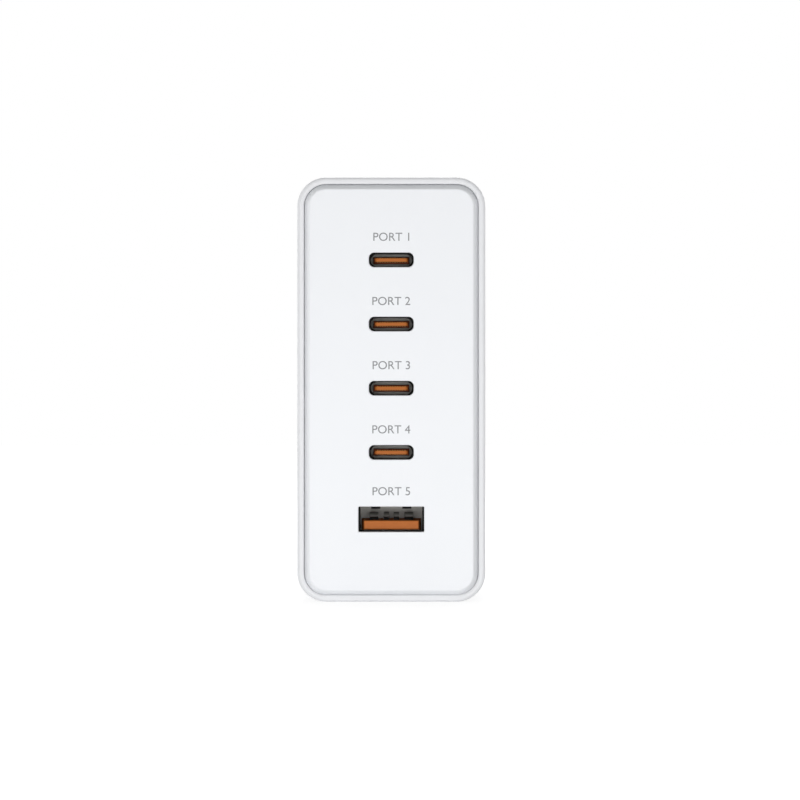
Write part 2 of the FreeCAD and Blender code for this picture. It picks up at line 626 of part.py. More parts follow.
def wide_contacts():
    """Four springs on the tongue, with flat tails and free tips; the outer two are wider for power."""
    top = wide_tongue_top()
    front_y = MOUTH_Y + WIDE_TONGUE_SETBACK + WIDE_CONTACT_INSET
    foot_y = front_y + WIDE_CONTACT_SPAN
    feet = (front_y, top + WIDE_CONTACT_TIP_LIFT), (foot_y, top)
    tail_y = (foot_y - WIDE_CONTACT_SHEET, MOUTH_Y + WIDE_CAVITY_DEPTH - WIDE_ROOT_LENGTH)
    strips = []
    for offset, width in zip(WIDE_CONTACT_OFFSETS, WIDE_CONTACT_WIDTHS):
        bow = bowed_strip(*feet, WIDE_CONTACT_RISE, WIDE_CONTACT_SHEET, around(offset, width))
        tail = box(around(offset, width), tail_y, (top, top + WIDE_CONTACT_SHEET))
        strips.append(fused([bow, tail]))
    return Part.makeCompound(strips)


# Circuit boards


def main_board():
    return box((BOARD_BACK_X, BOARD_FACE_X), (PORT_BOARD_Y, INPUT_BOARD_BACK_Y), (BOARD_LOW_Z, BOARD_HIGH_Z))


def port_board():
    """Stands across the front end of the main board and carries the sockets."""
    z_range = (WALL + PORT_BOARD_MARGIN, BODY_HEIGHT - WALL - PORT_BOARD_MARGIN)
    board = box((BOARD_FACE_X, BOARD_RIGHT_X), (PORT_BOARD_Y, PORT_BOARD_BACK_Y), z_range)
    slots = shell_legs(WIDE_SOCKET_Z, WIDE_MOUTH_HEIGHT, WIDE_SHEET, WIDE_LEG_SPACING, LEG_CLEARANCE)
    for z in SMALL_SOCKET_Z:
        slots += shell_legs(z, SMALL_MOUTH_HEIGHT, SMALL_SHEET, SMALL_LEG_SPACING, LEG_CLEARANCE)
    return board.cut(Part.makeCompound(slots))


def input_board():
    """Stands across the rear end of the main board and carries the pin clips."""
    z_range = around(MIDDLE_Z, INPUT_BOARD_HEIGHT)
    return box((BOARD_FACE_X, BOARD_RIGHT_X), (INPUT_BOARD_Y, INPUT_BOARD_BACK_Y), z_range)


# Heat path along the side walls


def side_stack(side):
    """The film, spreader and pad along one wall; the right pad reaches in to the transformer's top."""
    y_range = (STACK_FRONT_Y, STACK_REAR_Y)

    def sheet(x_out, x_in, margin, y_sheet):
        return box(sorted((side * x_out, side * x_in)), y_sheet, (margin, BODY_HEIGHT - margin))

    film = sheet(WALL_X, SPREADER_X, WALL + FILM_MARGIN, y_range)
    spreader = sheet(SPREADER_X, SPREADER_FACE_X, WALL + SPREADER_MARGIN, y_range)
    pad_face_x = SPREADER_FACE_X - PAD_THICKNESS
    if side < 0:
        pad = sheet(SPREADER_FACE_X, pad_face_x, WALL + SPREADER_MARGIN, y_range)
    else:
        pad_y = around(TRANSFORMER_Y, TRANSFORMER_DEPTH)
        pad = box((pad_face_x, SPREADER_FACE_X), pad_y, around(TRANSFORMER_Z, TRANSFORMER_LENGTH))
    return film, spreader, pad


# Parts on the main board; each stands on the board's face and rises along +X


def stacked(lengths):
    """Middle heights of parts set one above another up the board, a gap apart."""
    low = BOARD_LOW_Z + COLUMN_START
    middles = []
    for length in lengths:
        middles.append(low + length / 2)
        low += length + COMPONENT_GAP
    return middles


TRANSFORMER_HEIGHT = SPREADER_FACE_X - PAD_THICKNESS - BOARD_FACE_X
COIL_BACK_Y = PORT_BOARD_BACK_Y + COIL_HEIGHT
TRANSFORMER_Y = COIL_BACK_Y + COMPONENT_GAP + TRANSFORMER_DEPTH / 2
INPUT_COLUMN_Y = INPUT_BOARD_Y - COMPONENT_GAP - (CHOKE_THICKNESS + 2 * CHOKE_WIRE) / 2
BULK_Y = (TRANSFORMER_Y + TRANSFORMER_DEPTH / 2 + INPUT_COLUMN_Y - CHOKE_THICKNESS / 2 - CHOKE_WIRE) / 2
*OUTPUT_Z, SAFETY_CAP_Z, TRANSFORMER_Z, SWITCH_Z = stacked(
    [2 * OUTPUT_RADIUS] * OUTPUT_CAPACITORS + [2 * DISC_RADIUS, TRANSFORMER_LENGTH, SWITCH_SIDE]
)
*BULK_Z, INDUCTOR_Z = stacked([2 * BULK_RADIUS] * BULK_CAPACITORS + [INDUCTOR_LENGTH])
FUSE_Y = INPUT_BOARD_Y - COMPONENT_GAP - FUSE_RADIUS - FUSE_CAP_STAND
RECTIFIER_Y = FUSE_Y - FUSE_RADIUS - FUSE_CAP_STAND - COMPONENT_GAP - RECTIFIER_THICKNESS / 2
LEG_EDGE_X = (WIDE_LEG_SPACING + LEG_WIDTH) / 2 + COMPONENT_GAP
FILM_CAP_Z, CHOKE_Z, RECTIFIER_Z, ABSORBER_Z = stacked(
    [FILM_CAP_LENGTH, 2 * (CHOKE_RADIUS + CHOKE_WIRE), RECTIFIER_LENGTH, 2 * DISC_RADIUS]
)


def can_capacitor(radius, height, y, z):
    """An aluminium can on a rubber seat, with the crimped groove near its foot."""
    groove = CAN_SEAT + CAN_GROOVE_HEIGHT
    seat_radius = radius - CAN_GROOVE
    steps = [
        (0, 0), (0, seat_radius), (CAN_SEAT, seat_radius), (CAN_SEAT, radius), (groove - CAN_GROOVE, radius),
        (groove, radius - CAN_GROOVE), (groove + CAN_GROOVE, radius), (height, radius), (height, 0),
    ]
    can = turned([Vector(BOARD_FACE_X + x, y + r, z) for x, r in steps], Vector(0, y, z), Vector(1, 0, 0))
    top = [e for e in can.Edges if e.BoundBox.XMin > BOARD_FACE_X + height - TINY]
    return can.makeChamfer(CAN_CHAMFER, top)


def disc_part(y, z):
    """A coated disc on two leads, for the surge capacitor and the surge absorber."""
    middle_x = BOARD_FACE_X + LEAD_STANDOFF + DISC_RADIUS
    face = Vector(middle_x, y - DISC_THICKNESS / 2, z)
    disc = Part.makeCylinder(DISC_RADIUS, DISC_THICKNESS, face, Vector(0, 1, 0))
    disc = disc.makeChamfer(DISC_CHAMFER, [e for e in disc.Edges if e.BoundBox.YLength < TINY])
    leads = []
    for side in (-1, 1):
        foot = Vector(BOARD_FACE_X, y, z + side * LEAD_SPACING / 2)
        leads.append(Part.makeCylinder(LEAD_RADIUS, middle_x - BOARD_FACE_X, foot, Vector(1, 0, 0)))
    return fused([disc, *leads])


def magnetic_part(y, z, length, depth, height, post_radius):
    """Two ferrite halves round a wound bobbin; the bobbin's cheeks pass the core and stand on the board."""
    foot_x, top_x = BOARD_FACE_X, BOARD_FACE_X + height
    core_x = foot_x + BOBBIN_FOOT
    split_x = (core_x + top_x) / 2
    whole_y, core_y = around(y, depth), around(y, depth - 2 * BOBBIN_CHEEK)
    z_range = around(z, length)
    window_x = (core_x + CORE_PLATE, top_x - CORE_PLATE)
    window = box(window_x, core_y, around(z, length - 2 * CORE_LEG))
    axis, along = Vector(window_x[0], y, z), Vector(1, 0, 0)
    post = Part.makeCylinder(post_radius, window_x[1] - window_x[0], axis, along)
    core = fused([box((core_x, top_x), core_y, z_range).cut(window), post])
    lower = core.common(box((core_x, split_x), core_y, z_range))
    upper = core.common(box((split_x, top_x), core_y, z_range))
    hole_radius = post_radius + BOBBIN_GAP
    tube_radius = hole_radius + BOBBIN_WALL
    wound_radius = min(length / 2 - CORE_LEG, depth / 2) - BOBBIN_GAP - BOBBIN_WALL
    spool_x = (window_x[0], window_x[1] - BOBBIN_GAP)
    wound_x = (spool_x[0] + BOBBIN_WALL, spool_x[1] - BOBBIN_WALL)

    def tube(inner, outer, x_range):
        start, tall = Vector(x_range[0], y, z), x_range[1] - x_range[0]
        return Part.makeCylinder(outer, tall, start, along).cut(Part.makeCylinder(inner, tall, start, along))

    winding = tube(tube_radius, wound_radius, wound_x)
    flange_z = around(z, length - 2 * CORE_LEG - 2 * BOBBIN_GAP)
    flange_xs = (spool_x[0], wound_x[0]), (wound_x[1], spool_x[1])
    flanges = [box(flange_x, whole_y, flange_z) for flange_x in flange_xs]
    foot = box((foot_x, core_x), whole_y, z_range)
    cheek_ys = (whole_y[0], core_y[0]), (core_y[1], whole_y[1])
    cheeks = [box((foot_x, wound_x[0]), cheek_y, flange_z) for cheek_y in cheek_ys]
    bobbin = fused([tube(hole_radius, tube_radius, spool_x), foot, *flanges, *cheeks])
    bobbin = bobbin.cut(Part.makeCylinder(hole_radius, spool_x[1] - spool_x[0], axis, along))
    return {"core_lower": lower, "core_upper": upper, "bobbin": bobbin, "winding": winding}


def choke(y, z):
    """A ferrite ring on edge, with a winding on each half."""
    middle = Vector(BOARD_FACE_X + CHOKE_RADIUS + CHOKE_WIRE, y, z)
    along = Vector(0, 1, 0)

    def ring(inner, outer, thickness, angle):
        half = thickness / 2
        profile = [(inner, -half), (outer, -half), (outer, half), (inner, half)]
        points = [middle + Vector(0, t, r) for r, t in profile]
        face = Part.Face(Part.makePolygon(points + points[:1]))
        face.rotate(middle, along, -angle / 2)
        return face.revolve(middle, along, angle)

    core = ring(CHOKE_HOLE_RADIUS, CHOKE_RADIUS, CHOKE_THICKNESS, 360)
    radii = (CHOKE_HOLE_RADIUS - CHOKE_WIRE, CHOKE_RADIUS + CHOKE_WIRE)
    wrap = ring(*radii, CHOKE_THICKNESS + 2 * CHOKE_WIRE, CHOKE_WINDING_ANGLE)
    upper = wrap.cut(core)
    lower = upper.mirror(middle, Vector(0, 0, 1))
    return core, Part.makeCompound([upper, lower])


def film_capacitor(y, z):
    x_range = (BOARD_FACE_X, BOARD_FACE_X + FILM_CAP_HEIGHT)
    block = box(x_range, around(y, FILM_CAP_DEPTH), around(z, FILM_CAP_LENGTH))
    upright = [e for e in block.Edges if e.BoundBox.XLength > TINY]
    return block.makeFillet(FILM_CAP_FILLET, upright)


def bridge_rectifier(y, z):
    """A flat package on edge, with one corner cut to mark its first leg."""
    x_range = (BOARD_FACE_X, BOARD_FACE_X + RECTIFIER_HEIGHT)
    block = box(x_range, around(y, RECTIFIER_THICKNESS), around(z, RECTIFIER_LENGTH))
    corner = []
    for edge in block.Edges:
        b = edge.BoundBox
        if b.YLength > TINY and b.XMin > BOARD_FACE_X + TINY and b.ZMin > z:
            corner.append(edge)
    return block.makeChamfer(RECTIFIER_CHAMFER, corner)


def fuse(y, z):
    """A ceramic tube with a metal cap on each end, lying along the board."""
    low_z = z - FUSE_LENGTH / 2
    middle_x = BOARD_FACE_X + FUSE_RADIUS + FUSE_CAP_STAND
    tube = Part.makeCylinder(FUSE_RADIUS, FUSE_LENGTH, Vector(middle_x, y, low_z))
    cap_radius = FUSE_RADIUS + FUSE_CAP_STAND
    caps = []
    for cap_z in (low_z, low_z + FUSE_LENGTH - FUSE_CAP_LENGTH):
        caps.append(Part.makeCylinder(cap_radius, FUSE_CAP_LENGTH, Vector(middle_x, y, cap_z)))
    return fused([tube, *caps])


def power_switches():
    """A pair of flat transistor packages side by side on the board's face, above the transformer."""
    x_range = (BOARD_FACE_X, BOARD_FACE_X + SWITCH_HEIGHT)
    chips = []
    for side in (-1, 1):
        y = TRANSFORMER_Y + side * (SWITCH_SIDE + COMPONENT_GAP) / 2
        chips.append(box(x_range, around(y, SWITCH_SIDE), around(SWITCH_Z, SWITCH_SIDE)))
    return Part.makeCompound(chips)


# Parts on the back of the port board, one of each to a socket


def port_coils():
    """Moulded output coils."""
    coils = []
    for z in [*SMALL_SOCKET_Z, WIDE_SOCKET_Z]:
        x_range = (LEG_EDGE_X, LEG_EDGE_X + COIL_SIDE)
        coil = box(x_range, (PORT_BOARD_BACK_Y, COIL_BACK_Y), around(z, COIL_SIDE))
        coils.append(coil.makeChamfer(COIL_CHAMFER, edges_across(coil, COIL_BACK_Y)))
    return Part.makeCompound(coils)


def port_controllers():
    """Flat controller chips."""
    chips = []
    for z in [*SMALL_SOCKET_Z, WIDE_SOCKET_Z]:
        y_range = (PORT_BOARD_BACK_Y, PORT_BOARD_BACK_Y + CONTROLLER_HEIGHT)
        x_range = (-LEG_EDGE_X - CONTROLLER_SIDE, -LEG_EDGE_X)
        chips.append(box(x_range, y_range, around(z, CONTROLLER_SIDE)))
    return Part.makeCompound(chips)


# The whole charger, piece by piece


def all_pieces():
    pieces = {"housing_sleeve": housing_sleeve(), "front_panel": front_panel(), "rear_cover": rear_cover()}
    for name, side in (("left", -1), ("right", 1)):
        pieces[f"plug_pin_{name}"] = plug_pin(side)
        pieces[f"pin_sleeve_{name}"] = pin_sleeve(side)
        pieces[f"pin_clip_{name}"] = pin_clip(side)
        film, spreader, pad = side_stack(side)
        pieces[f"insulating_film_{name}"] = film
        pieces[f"heat_spreader_{name}"] = spreader
        pieces[f"thermal_pad_{name}"] = pad
    for number, z in enumerate(SMALL_SOCKET_Z, start=1):
        pieces[f"small_socket_{number}_shell"] = small_shell(z)
        pieces[f"small_socket_{number}_tongue"] = small_tongue(z)
        pieces[f"small_socket_{number}_contacts"] = small_contacts(z)
    pieces["small_socket_plates"] = Part.makeCompound([small_plate(z) for z in SMALL_SOCKET_Z])
    pieces["wide_socket_shell"] = wide_shell()
    pieces["wide_socket_tongue"] = wide_tongue()
    pieces["wide_socket_contacts"] = wide_contacts()
    pieces["wide_socket_plate"] = wide_plate()
    pieces["main_board"] = main_board()
    pieces["port_board"] = port_board()
    pieces["input_board"] = input_board()
    pieces["port_coils"] = port_coils()
    pieces["port_controllers"] = port_controllers()
    transformer = (TRANSFORMER_LENGTH, TRANSFORMER_DEPTH, TRANSFORMER_HEIGHT, TRANSFORMER_POST_RADIUS)
    inductor = (INDUCTOR_LENGTH, INDUCTOR_DEPTH, INDUCTOR_HEIGHT, INDUCTOR_POST_RADIUS)
    for name, solid in magnetic_part(TRANSFORMER_Y, TRANSFORMER_Z, *transformer).items():
        pieces[f"transformer_{name}"] = solid
    for name, solid in magnetic_part(BULK_Y, INDUCTOR_Z, *inductor).items():
        pieces[f"inductor_{name}"] = solid
    for number, z in enumerate(BULK_Z, start=1):
        pieces[f"bulk_capacitor_{number}"] = can_capacitor(BULK_RADIUS, BULK_HEIGHT, BULK_Y, z)
    for number, z in enumerate(OUTPUT_Z, start=1):
        pieces[f"output_capacitor_{number}"] = can_capacitor(OUTPUT_RADIUS, OUTPUT_HEIGHT, TRANSFORMER_Y, z)
    pieces["safety_capacitor"] = disc_part(TRANSFORMER_Y, SAFETY_CAP_Z)
    pieces["surge_absorber"] = disc_part(INPUT_COLUMN_Y, ABSORBER_Z)
    pieces["filter_capacitor"] = film_capacitor(INPUT_COLUMN_Y, FILM_CAP_Z)
    pieces["choke_core"], pieces["choke_windings"] = choke(INPUT_COLUMN_Y, CHOKE_Z)
    pieces["bridge_rectifier"] = bridge_rectifier(RECTIFIER_Y, RECTIFIER_Z)
    pieces["fuse"] = fuse(FUSE_Y, RECTIFIER_Z)
    pieces["power_switches"] = power_switches()
    return pieces


os.makedirs("parts", exist_ok=True)
for node, shape in all_pieces().items():
    shape.exportStep(os.path.join("parts", node + ".step"))
    state = "valid" if shape.isValid() else "not valid"
    print(node, len(shape.Solids), state, round(shape.Volume, 2))
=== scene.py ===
import math

import bmesh
import bpy
from mathutils import Matrix, Vector


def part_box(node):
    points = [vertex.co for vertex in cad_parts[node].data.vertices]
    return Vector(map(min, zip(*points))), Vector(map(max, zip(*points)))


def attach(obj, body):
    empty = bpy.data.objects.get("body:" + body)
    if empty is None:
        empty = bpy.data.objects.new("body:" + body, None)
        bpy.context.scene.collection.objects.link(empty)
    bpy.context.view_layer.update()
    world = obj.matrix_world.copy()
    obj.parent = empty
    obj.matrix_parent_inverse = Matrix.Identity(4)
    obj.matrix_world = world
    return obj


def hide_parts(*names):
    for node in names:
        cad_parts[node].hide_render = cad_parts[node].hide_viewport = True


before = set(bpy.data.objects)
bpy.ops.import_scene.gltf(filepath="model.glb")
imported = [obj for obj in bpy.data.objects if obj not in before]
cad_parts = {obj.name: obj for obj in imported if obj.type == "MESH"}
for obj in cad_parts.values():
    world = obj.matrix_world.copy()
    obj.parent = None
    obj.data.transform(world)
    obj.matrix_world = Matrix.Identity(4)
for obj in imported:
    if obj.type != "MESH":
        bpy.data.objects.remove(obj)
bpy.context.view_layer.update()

# Housing sleeve: one tube of satin white plastic, open at both ends, with a rounded rim at the front.
# It is injection moulded over a core, so it has a fine spark-eroded grain and no joint along its length.
# The rear cover butts against its back edge, where both pieces have a small radius that makes the seam.
MM = 0.001
TINY = 1e-7
RIM_WIDTH = 1.4 * MM
RIM_OUTER_RADIUS = 0.6 * MM
RIM_INNER_RADIUS = 0.3 * MM
CORNER_RADIUS = 5.8 * MM
SLEEVE_WALL = 2.0 * MM
SEAM_RADIUS = 0.25 * MM
PANEL_SEAT_DEPTH = 1.4 * MM
CORNER_STEPS = 16
RIM_OUTER_STEPS = 6
RIM_INNER_STEPS = 4
SEAM_STEPS = 3
CREASE_ANGLE = math.radians(40)
FLAT_FACE_WEIGHT = 100
GRAIN_DETAIL = 3.0
DRIFT_DETAIL = 2.0


def round_off(bm, edges, radius, steps):
    """Rolls a radius along edges."""
    bmesh.ops.bevel(
        bm, geom=edges, offset=radius, offset_type="OFFSET", segments=steps, profile=0.5,
        affect="EDGES", material=-1,
    )


def long_edges(bm):
    """The edges that run along Y."""
    return [e for e in bm.edges if abs(e.verts[0].co.y - e.verts[1].co.y) > TINY]


def rounded_block(width, height, radius, y_range, z_middle, steps):
    """A bar along Y whose four long edges are rounded, as a new bmesh."""
    bm = bmesh.new()
    bmesh.ops.create_cube(bm, size=1.0)
    bmesh.ops.scale(bm, vec=(width, y_range[1] - y_range[0], height), verts=bm.verts)
    bmesh.ops.translate(bm, vec=(0, sum(y_range) / 2, z_middle), verts=bm.verts)
    round_off(bm, long_edges(bm), radius, steps)
    bmesh.ops.remove_doubles(bm, verts=bm.verts, dist=TINY)
    return bm


def in_plane(part, y):
    """Whether a face or an edge lies in the plane at y."""
    return all(abs(v.co.y - y) < TINY for v in part.verts)


def end_face(bm, y):
    """The largest face that lies in the plane at y."""
    return max((f for f in bm.faces if in_plane(f, y)), key=lambda f: f.calc_area())


def step_in(bm, face, inset, move=0.0):
    """Sets a face in from its own outline and moves it along Y."""
    bmesh.ops.inset_region(bm, faces=[face], thickness=inset, use_even_offset=True, use_boundary=True)
    bmesh.ops.translate(bm, vec=(0, move, 0), verts=face.verts)


def push(bm, face, move):
    """Draws a straight wall out behind a face and returns the face at its new place."""
    moved = bmesh.ops.extrude_discrete_faces(bm, faces=[face])["faces"][0]
    bmesh.ops.translate(bm, vec=(0, move, 0), verts=moved.verts)
    return moved


def bore_through(bm, hole_end, far_face):
    """Opens a blind hole through the face that it has reached."""
    edges = list(hole_end.edges) + list(far_face.edges)
    bmesh.ops.delete(bm, geom=[hole_end, far_face], context="FACES_ONLY")
    bmesh.ops.bridge_loops(bm, edges=edges)


def make_piece(name, bm, finish, nodes=()):
    """Turns a bmesh into a finished piece that rides with the charger and stands for its CAD nodes."""
    bmesh.ops.recalc_face_normals(bm, faces=bm.faces)
    for edge in bm.edges:
        if edge.is_manifold and edge.calc_face_angle() > CREASE_ANGLE:
            edge.smooth = False
    for face in bm.faces:
        face.smooth = True
    mesh = bpy.data.meshes.new(name)
    bm.to_mesh(mesh)
    bm.free()
    mesh.materials.append(finish)
    piece = bpy.data.objects.new(name, mesh)
    bpy.context.scene.collection.objects.link(piece)
    flats = piece.modifiers.new("flat faces stay flat", "WEIGHTED_NORMAL")
    flats.weight = FLAT_FACE_WEIGHT
    flats.keep_sharp = True
    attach(piece, "root")
    if nodes:
        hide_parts(*nodes)


def surface_grain():
    """Shared effect: a fine height for the bump, and a slow drift for tone and gloss, both 0 to 1."""
    group = bpy.data.node_groups.new("surface_grain", "ShaderNodeTree")
    group.interface.new_socket("Grains per metre", in_out="INPUT", socket_type="NodeSocketFloat")
    group.interface.new_socket("Drifts per metre", in_out="INPUT", socket_type="NodeSocketFloat")
    group.interface.new_socket("Stretch", in_out="INPUT", socket_type="NodeSocketVector")
    group.interface.new_socket("Height", in_out="OUTPUT", socket_type="NodeSocketFloat")
    group.interface.new_socket("Drift", in_out="OUTPUT", socket_type="NodeSocketFloat")
    nodes, links = group.nodes, group.links
    given, out = nodes.new("NodeGroupInput"), nodes.new("NodeGroupOutput")
    place = nodes.new("ShaderNodeTexCoord")
    stretched = nodes.new("ShaderNodeVectorMath")
    stretched.operation = "MULTIPLY"
    links.new(place.outputs["Object"], stretched.inputs[0])
    links.new(given.outputs["Stretch"], stretched.inputs[1])
    patterns = (("Grains per metre", "Height", GRAIN_DETAIL), ("Drifts per metre", "Drift", DRIFT_DETAIL))
    for scale, result, detail in patterns:
        noise = nodes.new("ShaderNodeTexNoise")
        noise.inputs["Detail"].default_value = detail
        links.new(stretched.outputs["Vector"], noise.inputs["Vector"])
        links.new(given.outputs[scale], noise.inputs["Scale"])
        links.new(noise.outputs["Fac"], out.inputs[result])
    return group


GRAIN = surface_grain()


def make_finish(name, tones, gloss, grains, bump, drifts=120.0, stretch=(1, 1, 1), **sockets):
    """A finish whose tone and roughness drift between two values, over a fine grain.

    Further keywords give plain values to the shader's other sockets.
    """
    finish = bpy.data.materials.new(name)
    finish.use_nodes = True
    nodes, links = finish.node_tree.nodes, finish.node_tree.links
    shader = nodes["Principled BSDF"]
    for socket, value in sockets.items():
        shader.inputs[socket.replace("_", " ")].default_value = value
    grain = nodes.new("ShaderNodeGroup")
    grain.node_tree = GRAIN
    grain.inputs["Grains per metre"].default_value = grains
    grain.inputs["Drifts per metre"].default_value = drifts
    grain.inputs["Stretch"].default_value = stretch
    tone = nodes.new("ShaderNodeMix")
    tone.data_type = "RGBA"
    tone.inputs["A"].default_value = (*tones[0], 1)
    tone.inputs["B"].default_value = (*tones[1], 1)
    links.new(grain.outputs["Drift"], tone.inputs["Factor"])
    links.new(tone.outputs["Result"], shader.inputs["Base Color"])
    rough = nodes.new("ShaderNodeMapRange")
    rough.inputs["To Min"].default_value, rough.inputs["To Max"].default_value = gloss
    links.new(grain.outputs["Drift"], rough.inputs["Value"])
    links.new(rough.outputs["Result"], shader.inputs["Roughness"])
    relief = nodes.new("ShaderNodeBump")
    relief.inputs["Strength"].default_value = 1.0
    relief.inputs["Distance"].default_value = bump
    links.new(grain.outputs["Height"], relief.inputs["Height"])
    links.new(relief.outputs["Normal"], shader.inputs["Normal"])
    return finish


sleeve_low, sleeve_high = (Vector(corner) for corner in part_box("housing_sleeve"))
BODY_WIDTH, BODY_HEIGHT = sleeve_high.x - sleeve_low.x, sleeve_high.z - sleeve_low.z
FRONT_Y, SEAM_Y, MIDDLE_Z = sleeve_low.y, sleeve_high.y, (sleeve_low.z + sleeve_high.z) / 2

housing_white = make_finish(
    "housing_white", tones=((0.765, 0.772, 0.79), (0.785, 0.792, 0.81)), gloss=(0.34, 0.42), grains=9000,
    bump=0.004 * MM,
)
sleeve = rounded_block(BODY_WIDTH, BODY_HEIGHT, CORNER_RADIUS, (FRONT_Y, SEAM_Y), MIDDLE_Z, CORNER_STEPS)
round_off(sleeve, end_face(sleeve, FRONT_Y).edges[:], RIM_OUTER_RADIUS, RIM_OUTER_STEPS)
round_off(sleeve, end_face(sleeve, SEAM_Y).edges[:], SEAM_RADIUS, SEAM_STEPS)
opening = end_face(sleeve, FRONT_Y)
step_in(sleeve, opening, RIM_WIDTH - RIM_OUTER_RADIUS)
rim_edges = opening.edges[:]
opening = push(sleeve, opening, PANEL_SEAT_DEPTH)
round_off(sleeve, rim_edges, RIM_INNER_RADIUS, RIM_INNER_STEPS)
opening = end_face(sleeve, FRONT_Y + PANEL_SEAT_DEPTH)
step_in(sleeve, opening, SLEEVE_WALL - RIM_WIDTH)
back_edge = end_face(sleeve, SEAM_Y)
bore_end = push(sleeve, opening, SEAM_Y - FRONT_Y - PANEL_SEAT_DEPTH)
bore_through(sleeve, bore_end, back_edge)
make_piece("housing_sleeve_shell", sleeve, housing_white, ["housing_sleeve"])

# Front panel: a separate white moulding whose bevelled face stands proud of the sleeve's rim.
# A skirt behind it snaps into the sleeve, and thin lips in front of the sockets hide their shells' edges.
# It sits on the bottom of its opening, so the joint shows at the top and the sides only.
JOINT_GAP = 0.1 * MM
PANEL_INSET = RIM_WIDTH + JOINT_GAP
PANEL_DROP = 0.085 * MM
BEVEL_WIDTH = 0.9 * MM
BEVEL_RISE = 1.2 * MM
PANEL_EDGE_RADIUS = 0.18 * MM
SKIRT_DEPTH = 3.0 * MM
SKIRT_INSET = 0.6 * MM
SKIRT_WALL = 1.2 * MM
LIP_THICKNESS = 0.6 * MM
LIP_CHAMFER = 0.12 * MM
SEAT_CLEARANCE = 0.1 * MM
SMALL_CUTOUT = (8.95 * MM, 2.9 * MM)
SMALL_CUTOUT_CORNER = 1.05 * MM
WIDE_CUTOUT = (13.15 * MM, 5.05 * MM)
WIDE_CUTOUT_CORNER = 0.2 * MM
CUTOUT_STEPS = 8
PANEL_EDGE_STEPS = 4
SMALL_SOCKET_COUNT = 4
SMALL_SOCKETS = [f"small_socket_{n}" for n in range(1, SMALL_SOCKET_COUNT + 1)]

FACE_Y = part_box("front_panel")[0][1]
PANEL_BACK_Y = FRONT_Y + PANEL_SEAT_DEPTH
MOUTH_Y = FACE_Y + LIP_THICKNESS


def box_middle(node):
    """The middle of a CAD node's box."""
    low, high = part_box(node)
    return (Vector(low) + Vector(high)) / 2


def box_size(node):
    """The size of a CAD node's box along each axis."""
    low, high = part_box(node)
    return Vector(high) - Vector(low)


def resize_face(bm, face, width, height):
    """Stretches a face across Y to a new width and height about its own middle."""
    middle = face.calc_center_bounds()
    xs, zs = [v.co.x for v in face.verts], [v.co.z for v in face.verts]
    stretch = (width / (max(xs) - min(xs)), 1, height / (max(zs) - min(zs)))
    bmesh.ops.scale(bm, vec=stretch, verts=face.verts, space=Matrix.Translation(-middle))


def add_mesh(bm, other):
    """Adds another bmesh's faces to this one."""
    mesh = bpy.data.meshes.new("added")
    other.to_mesh(mesh)
    bm.from_mesh(mesh)
    other.free()
    bpy.data.meshes.remove(mesh)


def fill_between(bm, y):
    """Closes the plane at y between all the open loops that lie in it."""
    loops = [e for e in bm.edges if e.is_boundary and in_plane(e, y)]
    bmesh.ops.triangle_fill(bm, use_beauty=True, use_dissolve=False, edges=loops)
    for edge in loops:
        edge.smooth = False


def socket_hole(cutout, corner, shell_node):
    """The walls of one socket's hole: a chamfered lip in front, and a wider seat for the shell behind it."""
    z = box_middle(shell_node).z
    shell = box_size(shell_node)
    hole = rounded_block(*cutout, corner, (FACE_Y + LIP_CHAMFER, MOUTH_Y), z, CUTOUT_STEPS)
    mouth = push(hole, end_face(hole, FACE_Y + LIP_CHAMFER), -LIP_CHAMFER)
    resize_face(hole, mouth, cutout[0] + 2 * LIP_CHAMFER, cutout[1] + 2 * LIP_CHAMFER)
    seat = push(hole, end_face(hole, MOUTH_Y), 0)
    resize_face(hole, seat, shell.x + 2 * SEAT_CLEARANCE, shell.z + 2 * SEAT_CLEARANCE)
    seat = push(hole, seat, PANEL_BACK_Y - MOUTH_Y)
    bmesh.ops.delete(hole, geom=[mouth, seat], context="FACES_ONLY")
    return hole


panel_white = make_finish(
    "panel_white", tones=((0.855, 0.87, 0.895), (0.865, 0.88, 0.905)), gloss=(0.26, 0.32), grains=9000,
    bump=0.003 * MM,
)
panel = rounded_block(
    BODY_WIDTH - 2 * PANEL_INSET, BODY_HEIGHT - 2 * PANEL_INSET + PANEL_DROP, CORNER_RADIUS - PANEL_INSET,
    (FACE_Y + BEVEL_RISE, PANEL_BACK_Y), MIDDLE_Z - PANEL_DROP / 2, CORNER_STEPS,
)
step_in(panel, end_face(panel, FACE_Y + BEVEL_RISE), BEVEL_WIDTH, -BEVEL_RISE)
round_off(panel, end_face(panel, FACE_Y).edges[:], PANEL_EDGE_RADIUS, PANEL_EDGE_STEPS)
skirt = end_face(panel, PANEL_BACK_Y)
step_in(panel, skirt, SKIRT_INSET)
skirt = push(panel, skirt, SKIRT_DEPTH)
step_in(panel, skirt, SKIRT_WALL)
skirt = push(panel, skirt, -SKIRT_DEPTH)
bmesh.ops.delete(panel, geom=[skirt, end_face(panel, FACE_Y)], context="FACES_ONLY")
for socket in SMALL_SOCKETS:
    add_mesh(panel, socket_hole(SMALL_CUTOUT, SMALL_CUTOUT_CORNER, socket + "_shell"))
add_mesh(panel, socket_hole(WIDE_CUTOUT, WIDE_CUTOUT_CORNER, "wide_socket_shell"))
fill_between(panel, FACE_Y)
fill_between(panel, PANEL_BACK_Y)
make_piece("front_panel_moulding", panel, panel_white, ["front_panel"])

# Port numbers: a thin coat of grey ink, pad printed on the panel above each socket.
# The lettering is plain and only numbers the ports, from the top down.
INK_CAP_HEIGHT = 1.65 * MM
INK_COAT = 0.01 * MM
SMALL_PORT_RISE = 4.6 * MM
WIDE_PORT_RISE = 5.6 * MM
LETTER_MERGE = 1e-6

